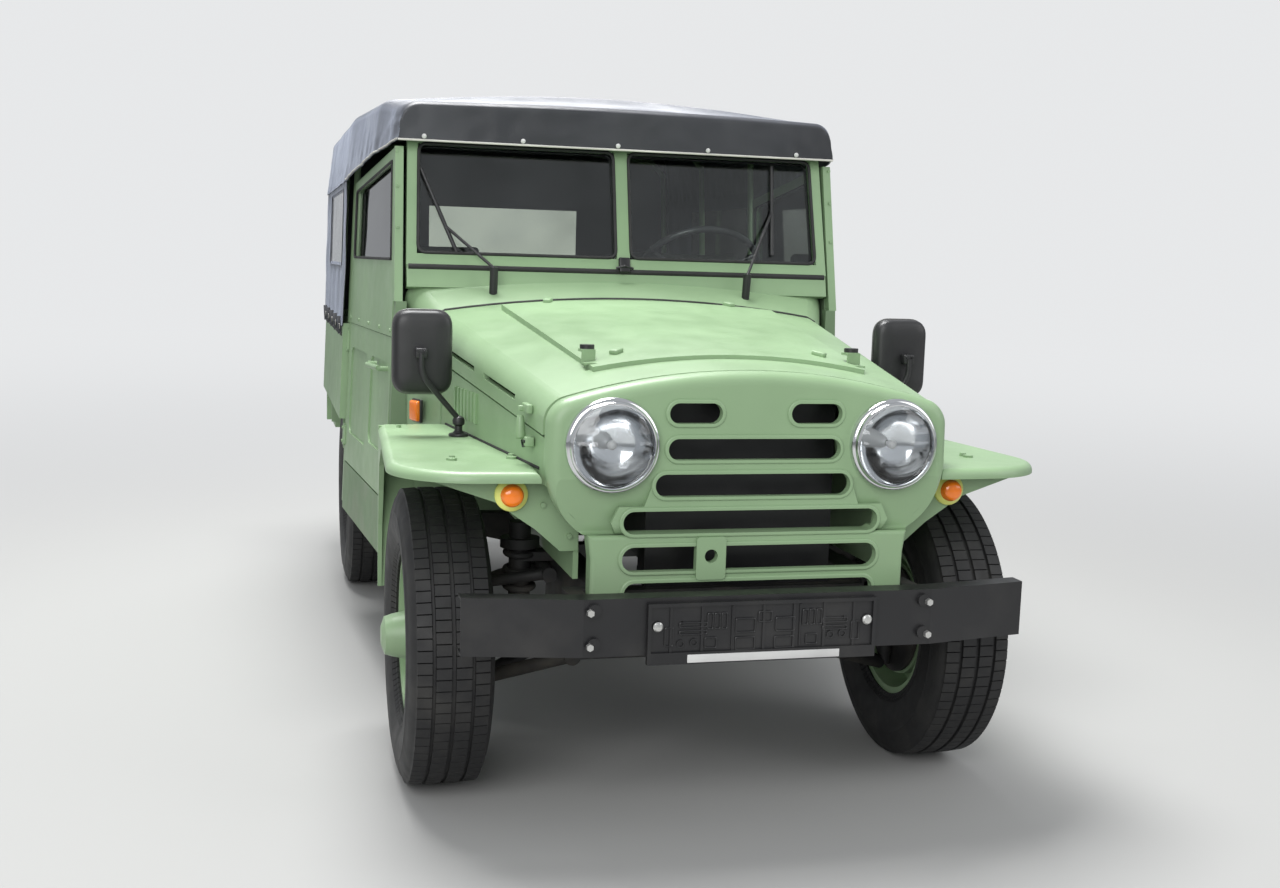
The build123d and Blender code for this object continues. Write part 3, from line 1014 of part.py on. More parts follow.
outer_roof = None
inner_roof = None
for a, b in zip(ROOF_SECTIONS[:-1], ROOF_SECTIONS[1:]):
    skin = Solid.make_loft([roof_face(*a, 0), roof_face(*b, 0)], True)
    y_a = a[0] + CANVAS if a is ROOF_SECTIONS[0] else a[0]
    y_b = b[0] - CANVAS if b is ROOF_SECTIONS[-1] else b[0]
    void = Solid.make_loft([roof_face(y_a, *a[1:], CANVAS), roof_face(y_b, *b[1:], CANVAS)], True)
    outer_roof = skin if outer_roof is None else outer_roof + skin
    inner_roof = void if inner_roof is None else inner_roof + void
top = outer_roof - inner_roof
LAP_Z = HANG_Z + 1
CURTAIN_LOW = TUB_TOP - 10
curtain_out = prism("y", [(-CURTAIN_FOOT, CURTAIN_LOW), (-curtain_x(LAP_Z), LAP_Z),
                          (-curtain_x(LAP_Z) + CANVAS, LAP_Z),
                          (-CURTAIN_FOOT + CANVAS, CURTAIN_LOW)], TUB_FRONT - 6, TUB_REAR + 14)
back_curtain = prism("y", [(-CURTAIN_FOOT, CURTAIN_LOW), (-curtain_x(LAP_Z), LAP_Z),
                           (curtain_x(LAP_Z), LAP_Z),
                           (CURTAIN_FOOT, CURTAIN_LOW)], TUB_REAR + 6, TUB_REAR + 14)
canvas = top + both(curtain_out) + back_curtain
SIDE_Y = (1800, 2620)
SIDE_Z = (1250, 1500)
BACK_HALF = 330
BACK_Z = (1200, 1500)
canvas = canvas - box(-900, 900, SIDE_Y[0], SIDE_Y[1], SIDE_Z[0], SIDE_Z[1])
canvas = canvas - box(-BACK_HALF, BACK_HALF, TUB_REAR - 20, TUB_REAR + 40, BACK_Z[0], BACK_Z[1])
front_cover = screen_prism([(-SCREEN_HALF_TOP - 12, s_len - 60), (SCREEN_HALF_TOP + 12, s_len - 60),
                            (SCREEN_HALF_TOP + 12, s_len + 80), (-SCREEN_HALF_TOP - 12, s_len
                                    + 80)], FRAME_THICK / 2 + SEAT, FRAME_THICK / 2 + SEAT + CANVAS)
canvas = canvas + front_cover
add("canvas_top", canvas)
low_z, high_z = SIDE_Z[0] + SEAT, SIDE_Z[1] - SEAT
clear = both(prism("y", [(-curtain_x(low_z) + 2, low_z), (-curtain_x(high_z) + 2, high_z),
                         (-curtain_x(high_z) + 6, high_z),
                         (-curtain_x(low_z) + 6, low_z)], SIDE_Y[0] + SEAT, SIDE_Y[1] - SEAT))
clear = clear + box(-BACK_HALF + SEAT, BACK_HALF - SEAT, TUB_REAR + 8, TUB_REAR + 12, BACK_Z[0] + SEAT,
                    BACK_Z[1] - SEAT)
add("canvas_windows", clear)

# Bows that carry the canvas
bows = None
BOW_HALF = EAVE_HALF - 48
BOWS = [
    # Y, half width, edge Z, crown Z
    (1180, BOW_HALF - 36, ROOF_EDGE - 28, ROOF_CROWN - 36.2),
    (1730, BOW_HALF, ROOF_EDGE - 20, ROOF_CROWN - 19.8),
    (2350, BOW_HALF, ROOF_EDGE - 18, ROOF_CROWN - 21.6),
    (2940, BOW_HALF, ROOF_EDGE - 18, ROOF_CROWN - 23.4),
]
BOW_SHOULDER = ROOF_EDGE - 72
for y, half, edge, crown in BOWS:
    run = [(-half, y, BOW_SHOULDER), (-half + 50, y, edge), (0, y, crown), (half - 50, y, edge),
           (half, y, BOW_SHOULDER)]
    if y > TUB_FRONT:
        run = [(-TUB_HALF + 41, y, TUB_TOP + 1)] + run + [(TUB_HALF - 41, y, TUB_TOP + 1)]
    bow = tube_run(run, 11)
    bows = bow if bows is None else bows + bow
bows = bows + both(tube_run([(-622, 892, BOW_SHOULDER - 30), (-BOW_HALF + 36, 1180, BOW_SHOULDER),
                             (-BOW_HALF, 1730, BOW_SHOULDER)], 10))
add("roof_bows", bows)


def save(name, shape):
    export_step(Pos(0, CENTRE_SHIFT, 0) * shape, "parts/" + name + ".step")


os.makedirs("parts", exist_ok=True)
for name, shape in parts.items():
    save(name, shape)
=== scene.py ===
# %% [markdown]
# # An unarmed army four-wheel-drive car, dressed
# The frame comes packed from the solids: every node is already in place, in metres.
# This file adds what solids leave out: tread, cloth, lenses, seals, bolts, and the finishes.
# Every piece rides on a body by name, so that doors, bonnet and wheels carry their own trim.

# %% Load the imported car
import bpy, bmesh, math
from mathutils import Matrix, Vector, noise
from mathutils.bvhtree import BVHTree


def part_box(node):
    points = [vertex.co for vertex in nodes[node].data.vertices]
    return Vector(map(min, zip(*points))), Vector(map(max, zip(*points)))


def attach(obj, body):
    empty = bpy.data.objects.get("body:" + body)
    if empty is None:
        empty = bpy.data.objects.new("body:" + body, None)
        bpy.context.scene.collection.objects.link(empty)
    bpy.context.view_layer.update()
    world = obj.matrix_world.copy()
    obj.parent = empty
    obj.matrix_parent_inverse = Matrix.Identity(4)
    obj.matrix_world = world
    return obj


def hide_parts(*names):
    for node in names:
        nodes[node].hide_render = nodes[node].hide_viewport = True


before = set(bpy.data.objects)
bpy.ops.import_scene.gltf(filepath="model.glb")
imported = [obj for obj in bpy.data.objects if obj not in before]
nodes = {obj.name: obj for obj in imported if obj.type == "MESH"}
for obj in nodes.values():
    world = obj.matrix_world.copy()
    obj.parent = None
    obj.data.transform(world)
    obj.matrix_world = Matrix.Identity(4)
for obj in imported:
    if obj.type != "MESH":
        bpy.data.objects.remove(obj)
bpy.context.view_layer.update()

# %% [markdown]
# ## Measuring from the front axle
# The car was laid out in millimetres from its front axle, and the frame counts metres from the
# middle of its length. One short helper turns the first into the second, so that every place
# below can be read as a distance behind the axle and a height above the ground.

# %% Places in millimetres
AXLE_SHIFT = -1230.0


def at(x, y, z):
    return Vector((x / 1000, (y + AXLE_SHIFT) / 1000, z / 1000))


def mm(value):
    return value / 1000


print("front axle at", tuple(round(v, 3) for v in at(0, 0, 362)))

# %% [markdown]
# ## The camera
# The photograph was taken from just in front of the right wing, at eye level of a seated person.
# A camera object needs a place, a turn and a focal length. Its turn is built from three plain
# angles, because a matrix made of right, up and backward directions can be checked by eye.

# %% Camera
CAMERA_PLACE = (-1058.0, -3477.6, 1282.3)
YAW, PITCH, ROLL = math.radians(14.889), math.radians(-8.126), math.radians(1.717)
FOCAL_PIXELS, SHIFT_PIXELS, FRAME_WIDTH = 1445.655, 24.6, 1280

look = Vector((math.sin(YAW) * math.cos(PITCH), math.cos(YAW) * math.cos(PITCH), math.sin(PITCH)))
level = Vector((math.cos(YAW), -math.sin(YAW), 0))
above = level.cross(look)
right = level * math.cos(ROLL) + above * math.sin(ROLL)
up = above * math.cos(ROLL) - level * math.sin(ROLL)
turn = Matrix((right, up, -look)).transposed().to_4x4()

camera_data = bpy.data.cameras.new("photo_camera")
camera_data.lens = FOCAL_PIXELS / FRAME_WIDTH * camera_data.sensor_width
camera_data.shift_y = SHIFT_PIXELS / FRAME_WIDTH
camera = bpy.data.objects.new("photo_camera", camera_data)
camera.matrix_world = Matrix.Translation(at(*CAMERA_PLACE)) @ turn
bpy.context.scene.collection.objects.link(camera)
bpy.context.scene.camera = camera
bpy.context.scene.view_settings.view_transform = "Standard"
print("lens", round(camera_data.lens, 2), "mm")

# %% [markdown]
# ## Shader maths as plain Python
# A finish is a small web of nodes. Writing each Math node by hand hides what the finish does, so
# one class wraps a socket and lets + * / and > build the Math nodes. Any other node comes from
# one method that takes its type, its settings and its sockets.

# %% A socket with arithmetic, and a finish


class Strand:
    def __init__(self, finish, socket):
        self.finish, self.socket = finish, socket

    def maths(self, operation, first, second=0.0):
        return self.finish.add("ShaderNodeMath", {"operation": operation}, {0: first, 1: second})

    def __add__(self, other):
        return self.maths("ADD", self, other)

    def __radd__(self, other):
        return self.maths("ADD", other, self)

    def __mul__(self, other):
        return self.maths("MULTIPLY", self, other)

    def __rmul__(self, other):
        return self.maths("MULTIPLY", other, self)

    def __truediv__(self, other):
        return self.maths("DIVIDE", self, other)

    def __rtruediv__(self, other):
        return self.maths("DIVIDE", other, self)

    def __gt__(self, other):
        return self.maths("GREATER_THAN", self, other)

    def clamp(self):
        return self.maths("MINIMUM", self.maths("MAXIMUM", self, 0.0), 1.0)


class Finish:
    def __init__(self, name, colour=(0.5, 0.5, 0.5), **values):
        self.material = bpy.data.materials.new(name)
        self.material.use_nodes = True
        self.tree = self.material.node_tree
        self.shader = self.tree.nodes["Principled BSDF"]
        self.plain = Strand(self, self.shader.outputs[0])
        self.shader.inputs["Base Color"].default_value = (*colour, 1)
        for socket, value in values.items():
            self.shader.inputs[socket.replace("_", " ").title()].default_value = value

    def add(self, kind, settings=None, sockets=None, out=0):
        node = self.tree.nodes.new(kind)
        for key, value in (settings or {}).items():
            setattr(node, key, value)
        for key, value in (sockets or {}).items():
            if isinstance(value, Strand):
                self.tree.links.new(value.socket, node.inputs[key])
            else:
                node.inputs[key].default_value = value
        return Strand(self, node.outputs[out])

    def feed(self, socket, strand):
        self.tree.links.new(strand.socket, self.shader.inputs[socket])

    def place(self):
        return self.add("ShaderNodeTexCoord", out="Object")

    def cloud(self, scale, detail):
        sockets = {"Vector": self.place(), "Scale": scale, "Detail": detail, "Roughness": 0.5}
        return self.add("ShaderNodeTexNoise", None, sockets, "Fac")

    def blend(self, factor, *colours):
        first, second = [colour if isinstance(colour, Strand) else (*colour, 1) for colour in colours]
        return self.add("ShaderNodeMix", {"data_type": "RGBA"}, {0: factor, 6: first, 7: second}, 2)

    def range(self, strand, low, high, new_low, new_high, **settings):
        sockets = {0: strand, 1: low, 2: high, 3: new_low, 4: new_high}
        return self.add("ShaderNodeMapRange", {"clamp": True, **settings}, sockets)

    def height(self):
        return self.add("ShaderNodeSeparateXYZ", None, {0: self.place()}, 2)

    def surface(self, factor, first, second):
        # shows two shaders mixed by a factor in place of the plain one
        mixed = self.add("ShaderNodeMixShader", None, {0: factor, 1: first, 2: second})
        self.tree.links.new(mixed.socket, self.tree.nodes["Material Output"].inputs["Surface"])

    def bump(self, strand, strength, depth, under=None):
        sockets = {"Height": strand, "Strength": strength, "Distance": depth}
        if under is not None:
            sockets["Normal"] = under
        return self.add("ShaderNodeBump", None, sockets)


print("shader helpers ready")

# %% [markdown]
# ## Floor and light
# A plain pale floor keeps the shadow and nothing else. One soft lamp high over the car stands for
# the sun, three weaker ones lighten its sides, and the world fills in the rest at a plain level,
# so that a colour renders about as it is written. The floor shows its own colour near the car and
# turns into the backdrop far away, and only the camera sees that change.

# %% Floor, lamps and world
floor_mesh = bmesh.new()
bmesh.ops.create_grid(floor_mesh, x_segments=2, y_segments=2, size=40)
floor_data = bpy.data.meshes.new("studio_floor")
floor_mesh.to_mesh(floor_data)
floor_mesh.free()
floor = bpy.data.objects.new("studio_floor", floor_data)
bpy.context.scene.collection.objects.link(floor)
BACKDROP = (0.80, 0.81, 0.82, 1)
# one over the distance in metres at which the floor starts to fade, and at which it is gone
NEAR_SHARE, FAR_SHARE = 0.42, 0.05
ground = Finish("studio_floor", (0.38, 0.38, 0.372), roughness=0.9)
distance = ground.add("ShaderNodeVectorMath", {"operation": "LENGTH"}, {0: ground.place()}, "Value")
far = ground.range(1.0 / distance, NEAR_SHARE, FAR_SHARE, 0.0, 1.0, interpolation_type="SMOOTHSTEP")
seen = ground.add("ShaderNodeLightPath", out="Is Camera Ray")
glow = ground.add("ShaderNodeEmission", None, {"Color": BACKDROP})
ground.surface(far * seen, ground.plain, glow)
floor_data.materials.append(ground.material)

LAMPS = [
    # name, place in metres, watts, size in metres
    ("key_lamp", (-0.8, 0.6, 6.6), 620, 2.8),
    ("front_lamp", (-3.0, -6.4, 3.6), 250, 4.0),
    ("fill_lamp", (4.6, -3.8, 3.4), 90, 4.0),
    ("back_lamp", (0.5, 6.0, 5.0), 180, 4.0),
]
for name, place, watts, size in LAMPS:
    lamp_data = bpy.data.lights.new(name, "AREA")
    lamp_data.energy = watts
    lamp_data.size = size
    lamp = bpy.data.objects.new(name, lamp_data)
    aim = (Vector((0, -0.4, 0.9)) - Vector(place)).to_track_quat("-Z", "Y").to_matrix().to_4x4()
    lamp.matrix_world = Matrix.Translation(place) @ aim
    bpy.context.scene.collection.objects.link(lamp)

world = bpy.data.worlds.new("studio")
world.use_nodes = True
bpy.context.scene.world = world
sky = world.node_tree
sky.nodes["Background"].inputs["Color"].default_value = (0.86, 0.89, 0.93, 1)
sky.nodes["Background"].inputs["Strength"].default_value = 0.55
backdrop = sky.nodes.new("ShaderNodeBackground")
backdrop.inputs["Color"].default_value = BACKDROP
sky_ray = sky.nodes.new("ShaderNodeLightPath")
sky_mix = sky.nodes.new("ShaderNodeMixShader")
sky.links.new(sky_ray.outputs["Is Camera Ray"], sky_mix.inputs["Fac"])
sky.links.new(sky.nodes["Background"].outputs["Background"], sky_mix.inputs[1])
sky.links.new(backdrop.outputs["Background"], sky_mix.inputs[2])
sky.links.new(sky_mix.outputs["Shader"], sky.nodes["World Output"].inputs["Surface"])
print(len(LAMPS), "lamps")

# %% [markdown]
# ## Green paint
# The body is sprayed in a pale sage green with a soft satin shine. Brushed-on army paint is never
# quite even: the colour drifts over large areas, a fine orange-peel shows in the shine, and road
# dust greys the lowest panels. Noise at three sizes gives those three things.

# %% Painted finishes
# heights in metres: road dust lies full below the first, and there is none above the second
DUSTY_BELOW, CLEAN_ABOVE = 0.25, 0.85
# a bonnet rest is one solid, and its black pad starts at this height
REST_PAD_FOOT = 1.0816


def painted(name, colour, roughness, drift=0.12, dust=(0.30, 0.29, 0.25), dusty=0.25):
    paint = Finish(name, colour, roughness=roughness)
    darker = tuple(c * (1 - drift) for c in colour)
    lighter = tuple(min(1.0, c * (1 + drift * 0.7)) for c in colour)
    wide = paint.cloud(1.7, 4.0)
    tone = paint.blend(paint.range(wide, 0.35, 0.65, 0.0, 1.0), darker, lighter)
    low = paint.range(paint.height(), DUSTY_BELOW, CLEAN_ABOVE, 1.0, 0.0)
    grime = (low * paint.range(paint.cloud(9.0, 6.0), 0.45, 0.75, 0.0, 1.0) * dusty).clamp()
    paint.feed("Base Color", paint.blend(grime, tone, dust))
    shine = paint.range(paint.cloud(14.0, 5.0), 0.3, 0.7, roughness - 0.05, roughness + 0.09)
    paint.feed("Roughness", shine + grime * 0.3)
    peel = paint.bump(paint.cloud(420.0, 2.0), 0.12, 0.0006)
    paint.feed("Normal", paint.bump(paint.cloud(3.5, 2.0), 0.10, 0.004, peel))
    return paint


SAGE = (0.245, 0.365, 0.205)
sage = painted("sage_paint", SAGE, 0.38)
# the floor body is sprayed the same sage; this darker copy of it is painted shade, with more road dust on top
sage_shade = painted("sage_painted_shade", (0.16, 0.24, 0.135), 0.6, dusty=0.6)
black = painted("black_satin", (0.012, 0.012, 0.013), 0.36, 0.3, (0.10, 0.095, 0.085), 0.25)
chassis = painted("chassis_black", (0.016, 0.016, 0.016), 0.62, 0.3, (0.09, 0.08, 0.065), 0.9)
cast = painted("cast_iron", (0.10, 0.105, 0.10), 0.6, 0.4, (0.05, 0.042, 0.032), 0.9)
steel = painted("dull_steel", (0.32, 0.31, 0.29), 0.42, 0.2, (0.16, 0.11, 0.07), 0.8)
steel.shader.inputs["Metallic"].default_value = 0.9
zinc = painted("zinc_plate", (0.62, 0.62, 0.60), 0.3, 0.15, (0.30, 0.28, 0.25), 0.3)
zinc.shader.inputs["Metallic"].default_value = 0.85
rests = Finish("rest_paint", SAGE, roughness=0.42)
pad_part = rests.height() > REST_PAD_FOOT
rest_tone = rests.blend(rests.range(rests.cloud(9.0, 4.0), 0.3, 0.7, 0.0, 1.0), (0.20, 0.30, 0.165), SAGE)
rests.feed("Base Color", rests.blend(pad_part, rest_tone, (0.016, 0.016, 0.017)))
rests.feed("Normal", rests.bump(rests.cloud(500.0, 2.0), 0.2, 0.0005))
print("paints ready")

# %% [markdown]
# ## Chrome, rubber, plastics, glass
# Chrome and glass get their look from what they reflect, so their own nodes only add faint
# smears. Rubber and moulded plastic are matt with a fine grain. A thin pane is best made of a
# clear shader and a mirror shader mixed by the angle of view, because light then passes into the
# cabin and the seats stay visible.

# %% Other finishes


def moulded(name, colour, roughness, grain=700.0, depth=0.0004, strength=0.25):
    resin = Finish(name, colour, roughness=roughness)
    tone = resin.range(resin.cloud(6.0, 4.0), 0.3, 0.7, 0.0, 1.0)
    lighter = tuple(min(1.0, c * 1.35 + 0.004) for c in colour)
    resin.feed("Base Color", resin.blend(tone, colour, lighter))
    resin.feed("Roughness", resin.range(resin.cloud(25.0, 4.0), 0.3, 0.7, roughness - 0.06, roughness + 0.08))
    resin.feed("Normal", resin.bump(resin.cloud(grain, 2.0), strength, depth))
    return resin


def pane(name, tint, mirror_rough=0.03, smear=0.05):
    glass = Finish(name, (0.9, 0.9, 0.9), roughness=mirror_rough, metallic=1.0)
    clear = glass.add("ShaderNodeBsdfTransparent", None, {"Color": (*tint, 1)})
    edge = glass.add("ShaderNodeFresnel", None, {"IOR": 1.5})
    dirt = glass.range(glass.cloud(5.0, 5.0), 0.4, 0.8, 0.0, smear)
    glass.surface((edge * 1.15 + dirt).clamp(), clear, glass.plain)
    return glass


chrome = Finish("chrome", (0.74, 0.75, 0.76), metallic=1.0, roughness=0.08)
chrome.feed("Roughness", chrome.range(chrome.cloud(30.0, 5.0), 0.35, 0.75, 0.05, 0.2))
mirror_bowl = Finish("lamp_reflector", (0.82, 0.83, 0.84), metallic=1.0, roughness=0.1)
mirror_bowl.feed("Roughness", mirror_bowl.range(mirror_bowl.cloud(40.0, 3.0), 0.3, 0.7, 0.06, 0.16))
rubber = moulded("seal_rubber", (0.012, 0.012, 0.012), 0.62)
plastic = moulded("black_plastic", (0.014, 0.014, 0.015), 0.42, 1500.0)
seat_skin = moulded("seat_cloth", (0.030, 0.035, 0.026), 0.55, 380.0, 0.0009, 0.5)
amber = moulded("amber_lens", (0.75, 0.17, 0.006), 0.16, 300.0)
amber.shader.inputs["Coat Weight"].default_value = 0.6
red = moulded("red_lens", (0.42, 0.01, 0.008), 0.16, 300.0)
pale_base = moulded("lamp_base_yellow", (0.60, 0.62, 0.16), 0.4)
white_strip = moulded("bare_white_strip", (0.48, 0.48, 0.47), 0.4)
bakelite = moulded("wheel_bakelite", (0.035, 0.035, 0.037), 0.22, 900.0, 0.0002, 0.1)
# the bead round a mirror's mouth is a paler grey than the head's plastic
pale_rim = moulded("pale_rim", (0.085, 0.085, 0.082), 0.45)
windscreen = pane("windscreen_pane", (0.92, 0.95, 0.94), 0.02, 0.02)
side_pane = pane("door_pane", (0.84, 0.89, 0.86), 0.03, 0.04)
vinyl_pane = pane("clear_vinyl", (0.74, 0.76, 0.70), 0.16, 0.16)
print("chrome, rubber, plastic and glass ready")

# %% [markdown]
# ## Canvas
# The hood is coated cloth: nearly black, a little blue where the sky falls on it, with a soft
# sheen on every fold and a fine plain weave. The weave is a set of waves along each axis, so that
# the roof, the sides and the back each show two of them, and larger noise makes the slack between
# the bows catch the light.

# %% Canvas finish
canvas = Finish("black_canvas", roughness=0.42, sheen_weight=0.4, sheen_roughness=0.45)
canvas.shader.inputs["Sheen Tint"].default_value = (0.45, 0.50, 0.62, 1)


def threads(direction):
    sockets = {"Vector": canvas.place(), "Scale": 260.0}
    return canvas.add("ShaderNodeTexWave", {"bands_direction": direction}, sockets, "Fac")


weave = threads("X") + threads("Y") + threads("Z")
fade = canvas.range(canvas.cloud(2.4, 5.0), 0.35, 0.7, 0.0, 1.0)
canvas.feed("Base Color", canvas.blend(fade, (0.022, 0.023, 0.027), (0.046, 0.048, 0.055)))
canvas.feed("Roughness", canvas.range(canvas.cloud(8.0, 4.0), 0.3, 0.7, 0.34, 0.50))
slack = canvas.bump(canvas.cloud(7.0, 3.0), 0.22, 0.006)
canvas.feed("Normal", canvas.bump(weave, 0.10, 0.0004, slack))
piping = moulded("light_piping", (0.50, 0.49, 0.45), 0.5)
print("canvas ready")

# %% [markdown]
# ## Finishes on the solid nodes
# Each carried-over node takes its finish by name. One table keeps this readable and makes sure
# that none keeps the plain colour it was packed with.

# %% Dress the solid nodes
DRESS = [
    (sage, "bonnet scuttle grille_shell front_fenders inner_wings windscreen_frame door_left door_right"),
    (sage, "rear_tub tailgate side_posts wheel_front_left wheel_front_right wheel_rear_left"),
    (sage, "wheel_rear_right spare_wheel roof_bows"),
    # the floor body takes the darker copy of the sage: painted shade
    (sage_shade, "floor_body"),
    (black, "front_bumper plate_holder radiator"),
    (chassis, "chassis_frame front_suspension front_differential knuckle_left knuckle_right rear_axle"),
    (chassis, "rear_springs fuel_tank propeller_shafts tow_hook"),
    (cast, "engine_gearbox"),
    (steel, "exhaust"),
    (rubber, "tyre_front_left tyre_front_right tyre_rear_left tyre_rear_right spare_tyre"),
    (rests, "bonnet_rests"),
    (bakelite, "steering_wheel"),
    (chrome, "headlamp_rings"),
    (windscreen, "windscreen_glass headlamp_glass"),
    (side_pane, "door_window_left door_window_right"),
    (vinyl_pane, "canvas_windows"),
    (amber, "side_lamps"),
    (red, "rear_lamps"),
    (seat_skin, "front_seats rear_benches"),
    (plastic, "dashboard driver_controls mirrors wipers"),
    (canvas, "canvas_top"),
]
dressed = 0
for finish, names in DRESS:
    for name in names.split():
        mesh = nodes[name].data
        mesh.materials.clear()
        mesh.materials.append(finish.material)
        dressed += 1
print(dressed, "of", len(nodes), "nodes dressed")

# %% [markdown]
# ## Small shapes
# Most trim is a turned shape, a rounded block, a bent bar or a bolt head. Four short helpers build
# those into one mesh, and `piece` turns the mesh into an object that rides on a body. `land` finds
# the spot where a straight line meets a solid node, so that a bolt sits on the metal it holds.

# %% Shape helpers


QUARTER_TURN = Matrix.Rotation(math.pi / 2, 4, "Z")


def pointing(origin, direction):
    return Matrix.Translation(origin) @ Vector(direction).to_track_quat("Z", "Y").to_matrix().to_4x4()


def piece(name, shape, finish, body="car", crease=35.0):
    bmesh.ops.recalc_face_normals(shape, faces=shape.faces)
    for face in shape.faces:
        face.smooth = True
    for edge in shape.edges:
        edge.smooth = len(edge.link_faces) == 2 and edge.calc_face_angle(0.0) < math.radians(crease)
    mesh = bpy.data.meshes.new(name)
    shape.to_mesh(mesh)
    shape.free()
    mesh.materials.append(finish.material)
    made = bpy.data.objects.new(name, mesh)
    bpy.context.scene.collection.objects.link(made)
    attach(made, body)
    return made


def lathe(shape, profile, where, steps=48):
    # a profile of (along, radius) in millimetres, spun about the Z axis of a placing matrix
    ring = [shape.verts.new((mm(radius), 0, mm(along))) for along, radius in profile]
    edges = [shape.edges.new(pair) for pair in zip(ring, ring[1:])]
    old = set(shape.verts) - set(ring)
    bmesh.ops.spin(shape, geom=ring + edges, cent=(0, 0, 0), axis=(0, 0, 1), dvec=(0, 0, 0),
                   angle=math.tau, steps=steps, use_merge=True, use_duplicate=False)
    fresh = [vert for vert in shape.verts if vert not in old]
    bmesh.ops.remove_doubles(shape, verts=fresh, dist=1e-6)
    fresh = [vert for vert in shape.verts if vert not in old]
    bmesh.ops.transform(shape, matrix=where, verts=fresh)
    return fresh


def bolt(shape, place, direction, across=14, height=6, sides=6):
    where = pointing(place, direction) @ Matrix.Translation((0, 0, mm(height) / 2))
    bmesh.ops.create_cone(shape, cap_ends=True, segments=sides, radius1=mm(across) / 2,
                          radius2=mm(across) * 0.44, depth=mm(height), matrix=where)


def slab(shape, size, where, round_by=2.0, segments=3):
    stretch = Matrix.Diagonal((mm(size[0]), mm(size[1]), mm(size[2]), 1))
    made = bmesh.ops.create_cube(shape, size=1.0, matrix=where @ stretch)
    edges = list(dict.fromkeys(edge for vert in made["verts"] for edge in vert.link_edges))
    bmesh.ops.bevel(shape, geom=edges, offset=mm(round_by), segments=segments, affect="EDGES",
                    profile=0.5, material=-1)


def bent_bar(shape, points, radius, closed=False, sides=3):
    curve = bpy.data.curves.new("path", "CURVE")
    curve.dimensions = "3D"
    curve.bevel_depth = mm(radius)
    curve.bevel_resolution = sides
    curve.use_fill_caps = True
    line = curve.splines.new("POLY")
    line.points.add(len(points) - 1)
    for knot, point in zip(line.points, points):
        knot.co = (*point, 1)
    line.use_cyclic_u = closed
    holder = bpy.data.objects.new("path", curve)
    mesh = bpy.data.meshes.new_from_object(holder)
    shape.from_mesh(mesh)
    bpy.data.objects.remove(holder)
    bpy.data.curves.remove(curve)
    bpy.data.meshes.remove(mesh)


CORNER_SIGNS = ((-1, -1), (1, -1), (1, 1), (-1, 1))


def spread(low, high, count):
    return [low + (high - low) * k / (count - 1) for k in range(count)]


def eased(before, corner, after, radius, steps=6):
    # the corner of a path as a short curve, which starts and ends a radius away from it
    start = corner + (before - corner).normalized() * mm(radius)
    end = corner + (after - corner).normalized() * mm(radius)
    parts = spread(0, 1, steps + 1)
    return [start.lerp(corner, part).lerp(corner.lerp(end, part), part) for part in parts]


def rounded(corners, radius, steps=6):
    # a closed path through straight-sided corners, each of them eased
    points = []
    for before, corner, after in zip(corners[-1:] + corners[:-1], corners, corners[1:] + corners[:1]):
        points += eased(before, corner, after, radius, steps)
    return points


TREES = {}


def land(name, origin, direction):
    # where a straight line first meets a solid node, and the way its surface faces
    if name not in TREES:
        solid = bmesh.new()
        solid.from_mesh(nodes[name].data)
        bmesh.ops.transform(solid, matrix=nodes[name].matrix_world, verts=solid.verts)
        TREES[name] = BVHTree.FromBMesh(solid)
        solid.free()
    hit, facing, _, _ = TREES[name].ray_cast(Vector(origin), Vector(direction).normalized())
    return hit, facing


def middle_of(name):
    low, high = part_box(name)
    return (Vector(low) + Vector(high)) / 2


print("shape helpers ready, axle centre", tuple(round(v, 3) for v in middle_of("tyre_front_right")))

# %% [markdown]
# ## Tyres
# A cross-country tyre of this age has a narrow round-shouldered tread: four ribs, three grooves
# round the wheel and a narrow cut across each rib every few centimetres. The carcass is turned
# from its section. Each tread face is then inset and lifted in one step, which leaves the cuts
# and the grooves as the places that stayed low.

# %% Five tyres
TYRE_PROFILE = [
    # distance along the axle, radius
    (-72, 204), (-77, 214), (-86, 225), (-94, 243), (-99, 264), (-101, 286), (-99.5, 298), (-100.5, 302),
    (-98.5, 306), (-96, 324), (-91, 339), (-85, 348), (-82, 351.5), (-47, 354.6), (-41, 354.8), (-4, 355.2),
]
TYRE_PROFILE = TYRE_PROFILE + [(-along, radius) for along, radius in reversed(TYRE_PROFILE)]
TYRE_STEPS = 84
RIBS = [(-82, -47), (-41, -4), (4, 41), (47, 82)]


def tyre(name, node, body, axis):
    shape = bmesh.new()
    lathe(shape, TYRE_PROFILE, Matrix.Identity(4), TYRE_STEPS)
    bmesh.ops.recalc_face_normals(shape, faces=shape.faces)
    blocks = []
    for face in shape.faces:
        along = face.calc_center_median().z * 1000
        if any(low < along < high for low, high in RIBS):
            blocks.append(face)
    bmesh.ops.inset_individual(shape, faces=blocks, thickness=mm(1.7), depth=mm(6.6))
    stagger = math.pi / TYRE_STEPS
    for vert in shape.verts:
        if abs(vert.co.z) < mm(43) and math.hypot(vert.co.x, vert.co.y) > mm(350):
            vert.co.rotate(Matrix.Rotation(stagger, 3, "Z"))
    where = pointing(middle_of(node), axis)
    bmesh.ops.transform(shape, matrix=where, verts=shape.verts)
    made = piece(name, shape, tread_rubber, body, crease=40)
    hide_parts(node)
    return made


